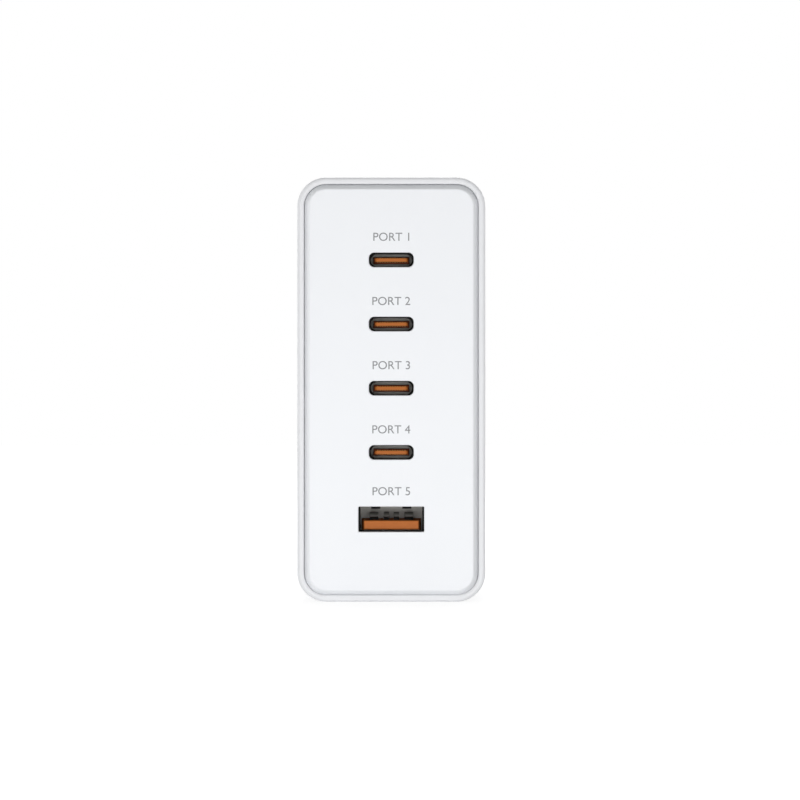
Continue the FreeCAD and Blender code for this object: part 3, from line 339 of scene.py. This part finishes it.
port_ink = make_finish(
    "port_ink", tones=((0.2, 0.205, 0.213), (0.24, 0.245, 0.253)), gloss=(0.5, 0.6), grains=20000,
    bump=0.001 * MM, drifts=2500,
)


def port_number(number, z):
    """The printed name of one port, centred on the panel at height z."""
    letters = bpy.data.curves.new("letters", "FONT")
    letters.body = f"PORT {number}"
    letters.extrude = INK_COAT
    shape = bpy.data.objects.new("letters", letters)
    bm = bmesh.new()
    bm.from_mesh(shape.to_mesh())
    bpy.data.objects.remove(shape)
    bpy.data.curves.remove(letters)
    bmesh.ops.remove_doubles(bm, verts=bm.verts, dist=LETTER_MERGE)
    low = [min(v.co[axis] for v in bm.verts) for axis in (0, 1)]
    high = [max(v.co[axis] for v in bm.verts) for axis in (0, 1)]
    scale = INK_CAP_HEIGHT / (high[1] - low[1])
    bmesh.ops.translate(bm, vec=(-(low[0] + high[0]) / 2, -(low[1] + high[1]) / 2, 0), verts=bm.verts)
    bmesh.ops.scale(bm, vec=(scale, scale, 1), verts=bm.verts)
    bmesh.ops.rotate(bm, matrix=Matrix.Rotation(math.pi / 2, 3, "X"), verts=bm.verts)
    bmesh.ops.translate(bm, vec=(0, FACE_Y, z), verts=bm.verts)
    make_piece(f"port_number_{number}", bm, port_ink)


for number, socket in enumerate(SMALL_SOCKETS, start=1):
    port_number(number, box_middle(socket + "_tongue").z + SMALL_PORT_RISE)
port_number(len(SMALL_SOCKETS) + 1, box_middle("wide_socket_tongue").z + WIDE_PORT_RISE)

# Socket shells: drawn or folded steel with a black nickel plate, soldered to the port board by four legs.
# Each one has a rolled front edge just behind the panel's lip.
# The wide one has two spring fingers in its roof, which press on the plug.
SMALL_SHEET = 0.3 * MM
WIDE_SHEET = 0.3 * MM
WIDE_BEND_RADIUS = 0.5 * MM
SHELL_EDGE_RADIUS = 0.08 * MM
LEG_WIDTH = 1.0 * MM
SMALL_LEG_SPACING = 5.0 * MM
WIDE_LEG_SPACING = 9.0 * MM
FINGER_OFFSET = 3.1 * MM
FINGER_WIDTH = 1.8 * MM
FINGER_INSET = 0.9 * MM
FINGER_LENGTH = 5.5 * MM
FINGER_RISE = 0.42 * MM
FINGER_STEPS = 14
SHELL_CORNER_STEPS = 8
SHELL_EDGE_STEPS = 3
SHELL_EDGE_ANGLE = math.radians(60)

# Near black: partly the black nickel plate, and partly painted shade for the shadow under the panel's lip.
shell_dark_and_shade = make_finish(
    "black_nickel_and_painted_shade", tones=((0.006, 0.006, 0.006), (0.012, 0.0115, 0.011)), gloss=(0.3, 0.42),
    grains=14000, bump=0.002 * MM, stretch=(1, 0.08, 1), Metallic=1.0,
)
BOARD_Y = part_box("port_board")[0][1]
LEG_END_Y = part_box("wide_socket_shell")[1][1]


def block(x_range, y_range, z_range):
    """A plain block as a new bmesh."""
    bm = bmesh.new()
    bmesh.ops.create_cube(bm, size=1.0)
    ranges = (x_range, y_range, z_range)
    bmesh.ops.scale(bm, vec=[r[1] - r[0] for r in ranges], verts=bm.verts)
    bmesh.ops.translate(bm, vec=[sum(r) / 2 for r in ranges], verts=bm.verts)
    return bm


def around(middle, size):
    """The two ends of a length centred on a point."""
    return middle - size / 2, middle + size / 2


def bowed_strip(y_range, z, rise, sheet, x_range):
    """A strip of sheet bowed upwards between two feet at height z; a negative rise bows it downwards."""
    half = (y_range[1] - y_range[0]) / 2
    radius = (half * half + rise * rise) / (2 * abs(rise))
    turn = 2 * math.asin(half / radius)
    side = math.copysign(1, rise)
    axis_z = z + rise - side * radius
    bm = bmesh.new()
    ends = [bm.verts.new((x, y_range[0], z)) for x in x_range]
    edge = bm.edges.new(ends)
    middle = (0, sum(y_range) / 2, axis_z)
    bmesh.ops.spin(bm, geom=[*ends, edge], cent=middle, axis=(-side, 0, 0), angle=turn, steps=FINGER_STEPS)
    bmesh.ops.recalc_face_normals(bm, faces=bm.faces)
    bmesh.ops.solidify(bm, geom=bm.faces[:], thickness=sheet)
    return bm


def socket_shell(node, corner, sheet, leg_spacing):
    """An open tube with rolled edges and four legs."""
    size, middle = box_size(node), box_middle(node)
    shell = rounded_block(size.x, size.z, corner, (MOUTH_Y, BOARD_Y), middle.z, SHELL_CORNER_STEPS)
    mouth = end_face(shell, MOUTH_Y)
    step_in(shell, mouth, sheet)
    back = end_face(shell, BOARD_Y)
    bore_end = push(shell, mouth, BOARD_Y - MOUTH_Y)
    bore_through(shell, bore_end, back)
    rims = [e for e in shell.edges if in_plane(e, MOUTH_Y) and e.calc_face_angle() > SHELL_EDGE_ANGLE]
    round_off(shell, rims, SHELL_EDGE_RADIUS, SHELL_EDGE_STEPS)
    for side in (-1, 1):
        for face in (-1, 1):
            leg_z = middle.z + face * (size.z - sheet) / 2
            leg_x = around(side * leg_spacing / 2, LEG_WIDTH)
            add_mesh(shell, block(leg_x, (BOARD_Y, LEG_END_Y), around(leg_z, sheet)))
    return shell


for socket in SMALL_SOCKETS:
    node = socket + "_shell"
    shell = socket_shell(node, box_size(node).z / 2, SMALL_SHEET, SMALL_LEG_SPACING)
    make_piece(socket + "_drawn_shell", shell, shell_dark_and_shade, [node])
wide = socket_shell("wide_socket_shell", WIDE_BEND_RADIUS, WIDE_SHEET, WIDE_LEG_SPACING)
roof_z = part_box("wide_socket_shell")[1][2] - WIDE_SHEET
for side in (-1, 1):
    finger_y = (MOUTH_Y + FINGER_INSET, MOUTH_Y + FINGER_INSET + FINGER_LENGTH)
    finger_x = around(side * FINGER_OFFSET, FINGER_WIDTH)
    add_mesh(wide, bowed_strip(finger_y, roof_z, -FINGER_RISE, WIDE_SHEET / 2, finger_x))
make_piece("wide_socket_folded_shell", wide, shell_dark_and_shade, ["wide_socket_shell"])

# Tongues: orange glass-filled plastic, moulded in one piece with the block that closes the shell's back.
# The small ones are thin with rounded corners; the wide one has a rounded nose and a thicker root.
# A band of steel wraps each small one's root, as the earth spring of such a socket does; its dark red colour
# is painted shade.
SMALL_MOUTH_DEPTH = 6.2 * MM
SMALL_TONGUE = (6.69 * MM, 0.7 * MM)
SMALL_TONGUE_SETBACK = 0.7 * MM
SMALL_TONGUE_CORNER = 0.6 * MM
SMALL_ROOT = (7.25 * MM, 1.4 * MM)
SMALL_ROOT_LENGTH = 1.3 * MM
TONGUE_EDGE_RADIUS = 0.12 * MM
WIDE_MOUTH_DEPTH = 9.0 * MM
WIDE_TONGUE = (11.1 * MM, 1.84 * MM)
WIDE_TONGUE_GAP = 0.45 * MM
WIDE_TONGUE_SETBACK = 0.9 * MM
WIDE_NOSE_RADIUS = 0.25 * MM
WIDE_ROOT_WIDTH = 11.9 * MM
WIDE_ROOT_STAND = 0.2 * MM
WIDE_ROOT_LENGTH = 1.3 * MM
WIDE_BLOCK_CORNER = 0.2 * MM
WIDE_BLOCK_STEPS = 3
WIDE_NOSE_STEPS = 4
TONGUE_CORNER_STEPS = 6
TONGUE_EDGE_STEPS = 3

tongue_orange = make_finish(
    "tongue_orange", tones=((0.43, 0.122, 0.022), (0.5, 0.152, 0.032)), gloss=(0.4, 0.5), grains=12000,
    bump=0.004 * MM, drifts=900, Specular_IOR_Level=0.15,
)
# Painted shade: the root band is dark red, the colour of the orange plastic in shadow at the tongue's root.
root_painted_shade = make_finish(
    "root_painted_shade", tones=((0.15, 0.028, 0.006), (0.2, 0.04, 0.009)), gloss=(0.35, 0.45), grains=14000,
    bump=0.002 * MM, stretch=(0.1, 1, 1), Metallic=0.6,
)

for socket in SMALL_SOCKETS:
    node = socket + "_tongue"
    size, z = box_size(node), box_middle(node).z
    tip_y, block_y = MOUTH_Y + SMALL_TONGUE_SETBACK, MOUTH_Y + SMALL_MOUTH_DEPTH
    insulator = rounded_block(size.x, size.z, size.z / 2, (block_y, BOARD_Y), z, SHELL_CORNER_STEPS)
    root = block(around(0, SMALL_ROOT[0]), (block_y - SMALL_ROOT_LENGTH, block_y), around(z, SMALL_ROOT[1]))
    root_front = end_face(root, block_y - SMALL_ROOT_LENGTH)
    round_off(root, root_front.edges[:], TONGUE_EDGE_RADIUS, TONGUE_EDGE_STEPS)
    make_piece(socket + "_root_band", root, root_painted_shade)
    tongue = block(around(0, SMALL_TONGUE[0]), (tip_y, block_y), around(z, SMALL_TONGUE[1]))
    corners = [e for e in end_face(tongue, tip_y).edges if abs(e.verts[0].co.z - e.verts[1].co.z) > TINY]
    round_off(tongue, corners, SMALL_TONGUE_CORNER, TONGUE_CORNER_STEPS)
    nose = [e for e in tongue.edges if abs(e.verts[0].co.z - e.verts[1].co.z) < TINY]
    nose = [e for e in nose if max(v.co.y for v in e.verts) < tip_y + SMALL_TONGUE_CORNER + TINY]
    round_off(tongue, nose, TONGUE_EDGE_RADIUS, TONGUE_EDGE_STEPS)
    add_mesh(insulator, tongue)
    make_piece(socket + "_insulator", insulator, tongue_orange, [node])

size, middle = box_size("wide_socket_tongue"), box_middle("wide_socket_tongue")
tip_y, block_y = MOUTH_Y + WIDE_TONGUE_SETBACK, MOUTH_Y + WIDE_MOUTH_DEPTH
insulator = rounded_block(
    size.x, size.z, WIDE_BLOCK_CORNER, (block_y, BOARD_Y), middle.z, WIDE_BLOCK_STEPS
)
floor_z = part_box("wide_socket_shell")[0][2] + WIDE_SHEET
tongue_z = floor_z + WIDE_TONGUE_GAP + WIDE_TONGUE[1] / 2
root_z = around(tongue_z, WIDE_TONGUE[1] + 2 * WIDE_ROOT_STAND)
root = block(around(0, WIDE_ROOT_WIDTH), (block_y - WIDE_ROOT_LENGTH, block_y), root_z)
root_front = end_face(root, block_y - WIDE_ROOT_LENGTH)
round_off(root, root_front.edges[:], TONGUE_EDGE_RADIUS, TONGUE_EDGE_STEPS)
add_mesh(insulator, root)
tongue = block(around(0, WIDE_TONGUE[0]), (tip_y, block_y), around(tongue_z, WIDE_TONGUE[1]))
round_off(tongue, end_face(tongue, tip_y).edges[:], WIDE_NOSE_RADIUS, WIDE_NOSE_STEPS)
add_mesh(insulator, tongue)
make_piece("wide_socket_insulator", insulator, tongue_orange, ["wide_socket_tongue"])

# Earthed plates and contacts: stamped steel at the back of each mouth, and plated springs on the tongues.
# Their flat and bowed forms are the CAD nodes' own; only their rolled or plated finish is added.
# The wide socket's springs keep their tin colour on the crest that a plug rubs, and are darker below it:
# painted shade.
SHADE_EDGE_RISE = 0.85 * MM
SHADE_BLEND = 0.1 * MM
SPRING_PAINTED_SHADE = (0.02, 0.017, 0.014, 1)
plate_steel = make_finish(
    "plate_steel", tones=((0.47, 0.455, 0.425), (0.56, 0.54, 0.51)), gloss=(0.4, 0.55), grains=15000,
    bump=0.002 * MM, stretch=(0.1, 1, 1), Metallic=0.35,
)
contact_gold = make_finish(
    "contact_gold", tones=((0.5, 0.26, 0.07), (0.58, 0.32, 0.1)), gloss=(0.25, 0.35), grains=15000,
    bump=0.001 * MM, stretch=(1, 0.1, 1), Metallic=0.8,
)
contact_tin = make_finish(
    "contact_tin", tones=((0.26, 0.25, 0.23), (0.31, 0.3, 0.28)), gloss=(0.42, 0.55), grains=15000,
    bump=0.002 * MM, stretch=(1, 0.1, 1), Metallic=0.4,
)


def shade_below_height(finish, z):
    """Darkens a finish below a height: painted shade."""
    nodes, links = finish.node_tree.nodes, finish.node_tree.links
    base = nodes["Principled BSDF"].inputs["Base Color"]
    spring_tone = base.links[0].from_socket
    place, apart = nodes.new("ShaderNodeTexCoord"), nodes.new("ShaderNodeSeparateXYZ")
    links.new(place.outputs["Object"], apart.inputs["Vector"])
    edge = nodes.new("ShaderNodeMapRange")
    edge.inputs["From Min"].default_value, edge.inputs["From Max"].default_value = z, z + SHADE_BLEND
    links.new(apart.outputs["Z"], edge.inputs["Value"])
    tone = nodes.new("ShaderNodeMix")
    tone.data_type = "RGBA"
    tone.inputs["A"].default_value = SPRING_PAINTED_SHADE
    links.new(spring_tone, tone.inputs["B"])
    links.new(edge.outputs["Result"], tone.inputs["Factor"])
    links.new(tone.outputs["Result"], base)


# Painted shade: the wide springs turn dark below a height above their feet.
shade_below_height(contact_tin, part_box("wide_socket_contacts")[0][2] + SHADE_EDGE_RISE)


def dress(finish, *names):
    """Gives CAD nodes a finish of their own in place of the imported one."""
    for name in names:
        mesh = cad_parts[name].data
        mesh.materials.clear()
        mesh.materials.append(finish)


dress(plate_steel, "small_socket_plates", "wide_socket_plate")
dress(contact_gold, *(socket + "_contacts" for socket in SMALL_SOCKETS))
dress(contact_tin, "wide_socket_contacts")

# Rear cover: a shallow cap of the same white plastic that closes the sleeve's back and carries the plug.
# Its skirt slides into the sleeve.
# The plug's snout is a flat bar with slanted ends, moulded in one piece with the cap.
COVER_RADIUS = 2.5 * MM
COVER_WALL = 2.2 * MM
SNOUT_LENGTH = 18.0 * MM
SNOUT_ROOT = 2.0 * MM
SNOUT_WIDTH = 35.3 * MM
SNOUT_HEIGHT = 13.7 * MM
SNOUT_SLANT = 4.6 * MM
SNOUT_SIDE_RADIUS = 1.2 * MM
SNOUT_FACE_RADIUS = 0.8 * MM
COVER_FIT = 0.05 * MM
PIN_ROOT_SPACING = 18.6 * MM
PIN_TIP_SPACING = 17.5 * MM
PIN_LENGTH = 19.0 * MM
COLLAR_RADIUS = 1.75 * MM
COLLAR_ROOT = 4.0 * MM
COLLAR_CLEARANCE = 0.02 * MM
ROUND_STEPS = 40
COVER_STEPS = 8
SNOUT_STEPS = 5
SLANT_STEPS = 1

PLUG_FACE_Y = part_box("rear_cover")[1][1]
REAR_Y = PLUG_FACE_Y - SNOUT_LENGTH
PIN_LEAN = math.atan((PIN_ROOT_SPACING - PIN_TIP_SPACING) / 2 / PIN_LENGTH)


def pin_hole(side):
    """The walls of the snout's hole for one pin's collar."""
    hole = bmesh.new()
    turn = Matrix.Rotation(math.pi / 2, 4, "X")
    place = Matrix.Translation((side * PIN_ROOT_SPACING / 2, PLUG_FACE_Y, MIDDLE_Z))
    disc = bmesh.ops.create_circle(
        hole, cap_ends=True, radius=COLLAR_RADIUS + COLLAR_CLEARANCE, segments=ROUND_STEPS,
        matrix=place @ turn,
    )
    bottom = push(hole, disc["verts"][0].link_faces[0], -COLLAR_ROOT)
    bmesh.ops.translate(hole, vec=(side * COLLAR_ROOT * math.tan(PIN_LEAN), 0, 0), verts=bottom.verts)
    return hole


cover = rounded_block(BODY_WIDTH, BODY_HEIGHT, CORNER_RADIUS, (SEAM_Y, REAR_Y), MIDDLE_Z, CORNER_STEPS)
round_off(cover, end_face(cover, REAR_Y).edges[:], COVER_RADIUS, COVER_STEPS)
round_off(cover, end_face(cover, SEAM_Y).edges[:], SEAM_RADIUS, SEAM_STEPS)
skirt = end_face(cover, SEAM_Y)
step_in(cover, skirt, SLEEVE_WALL + COVER_FIT - SEAM_RADIUS)
skirt = push(cover, skirt, -SKIRT_DEPTH)
step_in(cover, skirt, SKIRT_WALL)
push(cover, skirt, SKIRT_DEPTH + REAR_Y - COVER_WALL - SEAM_Y)

snout = block(around(0, SNOUT_WIDTH), (REAR_Y - SNOUT_ROOT, PLUG_FACE_Y), around(MIDDLE_Z, SNOUT_HEIGHT))
round_off(snout, long_edges(snout), SNOUT_SLANT, SLANT_STEPS)
round_off(snout, long_edges(snout), SNOUT_SIDE_RADIUS, SNOUT_STEPS)
round_off(snout, end_face(snout, PLUG_FACE_Y).edges[:], SNOUT_FACE_RADIUS, SNOUT_STEPS)
bmesh.ops.delete(snout, geom=[end_face(snout, PLUG_FACE_Y)], context="FACES_ONLY")
add_mesh(cover, snout)
for side in (-1, 1):
    add_mesh(cover, pin_hole(side))
fill_between(cover, PLUG_FACE_Y)
make_piece("rear_cover_moulding", cover, housing_white, ["rear_cover"])

# Plug pins: turned brass with a bright nickel plate and a rounded tip.
# They are held in the snout, and lean together a little as such pins do.
# A dark moulded collar insulates the root of each pin and fills its hole in the snout.
PIN_RADIUS = 2.0 * MM
PIN_CORE_RADIUS = 1.4 * MM
PIN_TIP_RADIUS = 1.4 * MM
COLLAR_LENGTH = 10.0 * MM
COLLAR_EDGE = 0.15 * MM
TIP_STEPS = 6
PIN_END_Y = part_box("plug_pin_left")[0][1]

pin_nickel = make_finish(
    "pin_nickel", tones=((0.48, 0.465, 0.435), (0.56, 0.545, 0.51)), gloss=(0.16, 0.24), grains=9000,
    bump=0.0015 * MM, stretch=(0.15, 1, 0.15), Metallic=1.0,
)
collar_grey = make_finish(
    "collar_grey", tones=((0.03, 0.03, 0.032), (0.045, 0.045, 0.048)), gloss=(0.42, 0.52), grains=11000,
    bump=0.004 * MM,
)


def turned(profile, side):
    """Spins a profile of (distance from the plug's face, radius) about a pin's own leaning axis."""
    bm = bmesh.new()
    points = [bm.verts.new((radius, along, 0)) for along, radius in profile]
    edges = [bm.edges.new(pair) for pair in zip(points, points[1:])]
    bmesh.ops.spin(
        bm, geom=points + edges, cent=(0, 0, 0), axis=(0, 1, 0), angle=2 * math.pi, steps=ROUND_STEPS,
        use_merge=True,
    )
    bmesh.ops.remove_doubles(bm, verts=bm.verts, dist=TINY)
    bmesh.ops.rotate(bm, matrix=Matrix.Rotation(side * PIN_LEAN, 3, "Z"), verts=bm.verts)
    bmesh.ops.translate(bm, vec=(side * PIN_ROOT_SPACING / 2, PLUG_FACE_Y, MIDDLE_Z), verts=bm.verts)
    return bm


tip_turn = [math.pi / 2 * n / TIP_STEPS for n in range(TIP_STEPS + 1)]
tip = [
    (PIN_LENGTH - PIN_TIP_RADIUS * (1 - math.sin(a)), PIN_RADIUS - PIN_TIP_RADIUS * (1 - math.cos(a)))
    for a in tip_turn
]
pin_profile = [(PIN_END_Y - PLUG_FACE_Y, 0), (PIN_END_Y - PLUG_FACE_Y, PIN_CORE_RADIUS)]
pin_profile += [(COLLAR_LENGTH, PIN_CORE_RADIUS), (COLLAR_LENGTH, PIN_RADIUS - COLLAR_EDGE)]
pin_profile += [(COLLAR_LENGTH + COLLAR_EDGE, PIN_RADIUS), *tip, (PIN_LENGTH, 0)]
collar_profile = [(-COLLAR_ROOT, PIN_CORE_RADIUS), (-COLLAR_ROOT, COLLAR_RADIUS)]
collar_profile += [(COLLAR_LENGTH, COLLAR_RADIUS), (COLLAR_LENGTH, PIN_CORE_RADIUS)]
collar_profile += [(-COLLAR_ROOT, PIN_CORE_RADIUS)]
for hand, side in (("left", -1), ("right", 1)):
    pin = turned(pin_profile, side)
    make_piece(f"turned_pin_{hand}", pin, pin_nickel, [f"plug_pin_{hand}"])
    collar = turned(collar_profile, side)
    make_piece(f"pin_collar_{hand}", collar, collar_grey, [f"pin_sleeve_{hand}"])

# Inside: the boards and the parts on them, sealed in the housing, keep their CAD form.
# Each gets the finish of the real part, such as green mask, ferrite, copper wire or sleeved cans.
# They are soldered, clamped or glued in place, so none of them moves.
board_mask = make_finish(
    "board_mask", tones=((0.012, 0.085, 0.035), (0.02, 0.12, 0.05)), gloss=(0.3, 0.42), grains=5000,
    bump=0.006 * MM,
)
dress(board_mask, "main_board", "port_board", "input_board")

ground_ferrite = make_finish(
    "ground_ferrite", tones=((0.02, 0.02, 0.022), (0.04, 0.04, 0.043)), gloss=(0.5, 0.7), grains=7000,
    bump=0.01 * MM,
)
dress(ground_ferrite, "transformer_core_lower", "transformer_core_upper")
dress(ground_ferrite, "inductor_core_lower", "inductor_core_upper", "choke_core")

enamelled_copper = make_finish(
    "enamelled_copper", tones=((0.4, 0.13, 0.04), (0.55, 0.2, 0.07)), gloss=(0.2, 0.32), grains=3500,
    bump=0.02 * MM, stretch=(1, 0.05, 0.05), Metallic=1.0,
)
dress(enamelled_copper, "transformer_winding", "inductor_winding", "choke_windings")

moulded_black = make_finish(
    "moulded_black", tones=((0.012, 0.012, 0.013), (0.022, 0.022, 0.024)), gloss=(0.45, 0.6), grains=8000,
    bump=0.006 * MM,
)
dress(moulded_black, "transformer_bobbin", "inductor_bobbin")
dress(moulded_black, "port_controllers", "power_switches", "bridge_rectifier")

sleeved_can = make_finish(
    "sleeved_can", tones=((0.015, 0.02, 0.03), (0.025, 0.03, 0.045)), gloss=(0.2, 0.3), grains=6000,
    bump=0.003 * MM,
)
dress(sleeved_can, "bulk_capacitor_1", "bulk_capacitor_2", "bulk_capacitor_3")

rolled_aluminium = make_finish(
    "rolled_aluminium", tones=((0.55, 0.56, 0.58), (0.64, 0.65, 0.67)), gloss=(0.28, 0.4), grains=9000,
    bump=0.002 * MM, stretch=(1, 0.05, 1), Metallic=1.0,
)
dress(rolled_aluminium, "output_capacitor_1", "output_capacitor_2", "output_capacitor_3")
dress(rolled_aluminium, "heat_spreader_left", "heat_spreader_right")

dipped_blue = make_finish(
    "dipped_blue", tones=((0.02, 0.07, 0.28), (0.03, 0.1, 0.35)), gloss=(0.2, 0.35), grains=3000,
    bump=0.02 * MM,
)
dress(dipped_blue, "safety_capacitor", "surge_absorber")

potted_yellow = make_finish(
    "potted_yellow", tones=((0.6, 0.4, 0.04), (0.7, 0.48, 0.06)), gloss=(0.35, 0.5), grains=7000,
    bump=0.005 * MM,
)
dress(potted_yellow, "filter_capacitor")

fuse_ceramic = make_finish(
    "fuse_ceramic", tones=((0.68, 0.66, 0.6), (0.76, 0.74, 0.68)), gloss=(0.3, 0.45), grains=6000,
    bump=0.004 * MM,
)
dress(fuse_ceramic, "fuse")

pressed_powder = make_finish(
    "pressed_powder", tones=((0.06, 0.06, 0.062), (0.1, 0.1, 0.105)), gloss=(0.5, 0.65), grains=6000,
    bump=0.012 * MM,
)
dress(pressed_powder, "port_coils")

spring_bronze = make_finish(
    "spring_bronze", tones=((0.55, 0.36, 0.14), (0.64, 0.44, 0.2)), gloss=(0.25, 0.38), grains=9000,
    bump=0.002 * MM, stretch=(0.1, 1, 1), Metallic=1.0,
)
dress(spring_bronze, "pin_clip_left", "pin_clip_right")

filled_silicone = make_finish(
    "filled_silicone", tones=((0.3, 0.34, 0.4), (0.36, 0.4, 0.46)), gloss=(0.6, 0.75), grains=4000,
    bump=0.015 * MM,
)
dress(filled_silicone, "thermal_pad_left", "thermal_pad_right")

amber_film = make_finish(
    "amber_film", tones=((0.45, 0.2, 0.03), (0.52, 0.25, 0.045)), gloss=(0.12, 0.2), grains=2000,
    bump=0.004 * MM,
)
dress(amber_film, "insulating_film_left", "insulating_film_right")

# Floor, light and camera: a pale table, a soft lamp low in front, three weaker ones behind, and a long lens.
# The camera and reflections see the table glow, most of all away from the charger, before plain white air.
# Bounced light sees plain paint and dimmer air. The table casts no shadow, so one lamp can stand below it.
CAMERA_DISTANCE = 0.9
VIEW_WIDTH = 0.16
SENSOR_WIDTH = 36.0
CAMERA_X = 1.74 * MM
CAMERA_Z = 40.4 * MM
TABLE_SIZE = 6.0
TABLE_GLOW = (0.75, 0.91)
TABLE_PAINTED_SHADE_REACH = (0.05, 0.22)
TABLE_SHADE = 0.4
TABLE_PAINT = 0.8
AIR_LIGHT = 0.4
AIR_WHITE = 1.0


def seen_white(nodes, links):
    """1 where the camera, a reflection or a clear piece looks, 0 for soft bounced light."""
    path = nodes.new("ShaderNodeLightPath")
    seen = path.outputs["Is Camera Ray"]
    for ray in ("Is Glossy Ray", "Is Transmission Ray"):
        either = nodes.new("ShaderNodeMath")
        either.operation = "MAXIMUM"
        links.new(seen, either.inputs[0])
        links.new(path.outputs[ray], either.inputs[1])
        seen = either.outputs["Value"]
    return seen


table = bmesh.new()
bmesh.ops.create_grid(table, x_segments=1, y_segments=1, size=TABLE_SIZE / 2)
table_mesh = bpy.data.meshes.new("table")
table.to_mesh(table_mesh)
table.free()
table_white = bpy.data.materials.new("table_white")
table_white.use_nodes = True
nodes, links = table_white.node_tree.nodes, table_white.node_tree.links
nodes.remove(nodes["Principled BSDF"])
matte, glow = nodes.new("ShaderNodeBsdfDiffuse"), nodes.new("ShaderNodeEmission")
matte.inputs["Color"].default_value = (TABLE_SHADE, TABLE_SHADE, TABLE_SHADE, 1)
# Painted shade: the glow is weaker near the charger, so the table is darker round it.
place, reach, glow_dimmed_near = (nodes.new("ShaderNode" + kind) for kind in ("TexCoord", "VectorMath", "MapRange"))
reach.operation = "LENGTH"
glow_dimmed_near.inputs["From Min"].default_value, glow_dimmed_near.inputs["From Max"].default_value = TABLE_PAINTED_SHADE_REACH
glow_dimmed_near.inputs["To Min"].default_value, glow_dimmed_near.inputs["To Max"].default_value = TABLE_GLOW
links.new(place.outputs["Object"], reach.inputs[0])
links.new(reach.outputs["Value"], glow_dimmed_near.inputs["Value"])
links.new(glow_dimmed_near.outputs["Result"], glow.inputs["Strength"])
both = nodes.new("ShaderNodeAddShader")
links.new(matte.outputs["BSDF"], both.inputs[0])
links.new(glow.outputs["Emission"], both.inputs[1])
plain = nodes.new("ShaderNodeBsdfDiffuse")
plain.inputs["Color"].default_value = (TABLE_PAINT, TABLE_PAINT, TABLE_PAINT, 1)
choice = nodes.new("ShaderNodeMixShader")
links.new(seen_white(nodes, links), choice.inputs["Fac"])
links.new(plain.outputs["BSDF"], choice.inputs[1])
links.new(both.outputs["Shader"], choice.inputs[2])
links.new(choice.outputs["Shader"], nodes["Material Output"].inputs["Surface"])
table_mesh.materials.append(table_white)
table_top = bpy.data.objects.new("table", table_mesh)
table_top.visible_shadow = False
bpy.context.scene.collection.objects.link(table_top)

air = bpy.data.worlds.new("air")
air.use_nodes = True
nodes, links = air.node_tree.nodes, air.node_tree.links
level = nodes.new("ShaderNodeMapRange")
level.inputs["To Min"].default_value, level.inputs["To Max"].default_value = AIR_LIGHT, AIR_WHITE
links.new(seen_white(nodes, links), level.inputs["Value"])
links.new(level.outputs["Result"], nodes["Background"].inputs["Strength"])
nodes["Background"].inputs["Color"].default_value = (1, 1, 1, 1)
bpy.context.scene.world = air


def soft_lamp(name, place, size, power):
    """A soft panel lamp that faces the middle of the charger."""
    lamp = bpy.data.lights.new(name, "AREA")
    lamp.shape = "RECTANGLE"
    lamp.size, lamp.size_y = size
    lamp.energy = power
    stand = bpy.data.objects.new(name, lamp)
    stand.location = place
    aim = Vector((0, 0, MIDDLE_Z)) - Vector(place)
    stand.rotation_euler = aim.to_track_quat("-Z", "Y").to_euler()
    stand.visible_camera = False
    bpy.context.scene.collection.objects.link(stand)


soft_lamp("front_lamp", place=(-0.14, -0.77, -0.21), size=(1.0, 0.5), power=4.95)
soft_lamp("left_rear_lamp", place=(-0.7, 0.5, 0.3), size=(0.9, 0.9), power=2.3)
soft_lamp("right_rear_lamp", place=(0.7, 0.5, 0.3), size=(0.9, 0.9), power=2.6)
soft_lamp("high_rear_lamp", place=(0.0, 0.6, 0.75), size=(0.6, 0.6), power=3.3)

lens = bpy.data.cameras.new("camera")
lens.sensor_width = SENSOR_WIDTH
lens.lens = SENSOR_WIDTH * CAMERA_DISTANCE / VIEW_WIDTH
camera = bpy.data.objects.new("camera", lens)
camera.location = (CAMERA_X, FACE_Y - CAMERA_DISTANCE, CAMERA_Z)
camera.rotation_euler = (math.pi / 2, 0, 0)
bpy.context.scene.collection.objects.link(camera)
bpy.context.scene.camera = camera
bpy.context.scene.view_settings.view_transform = "Standard"
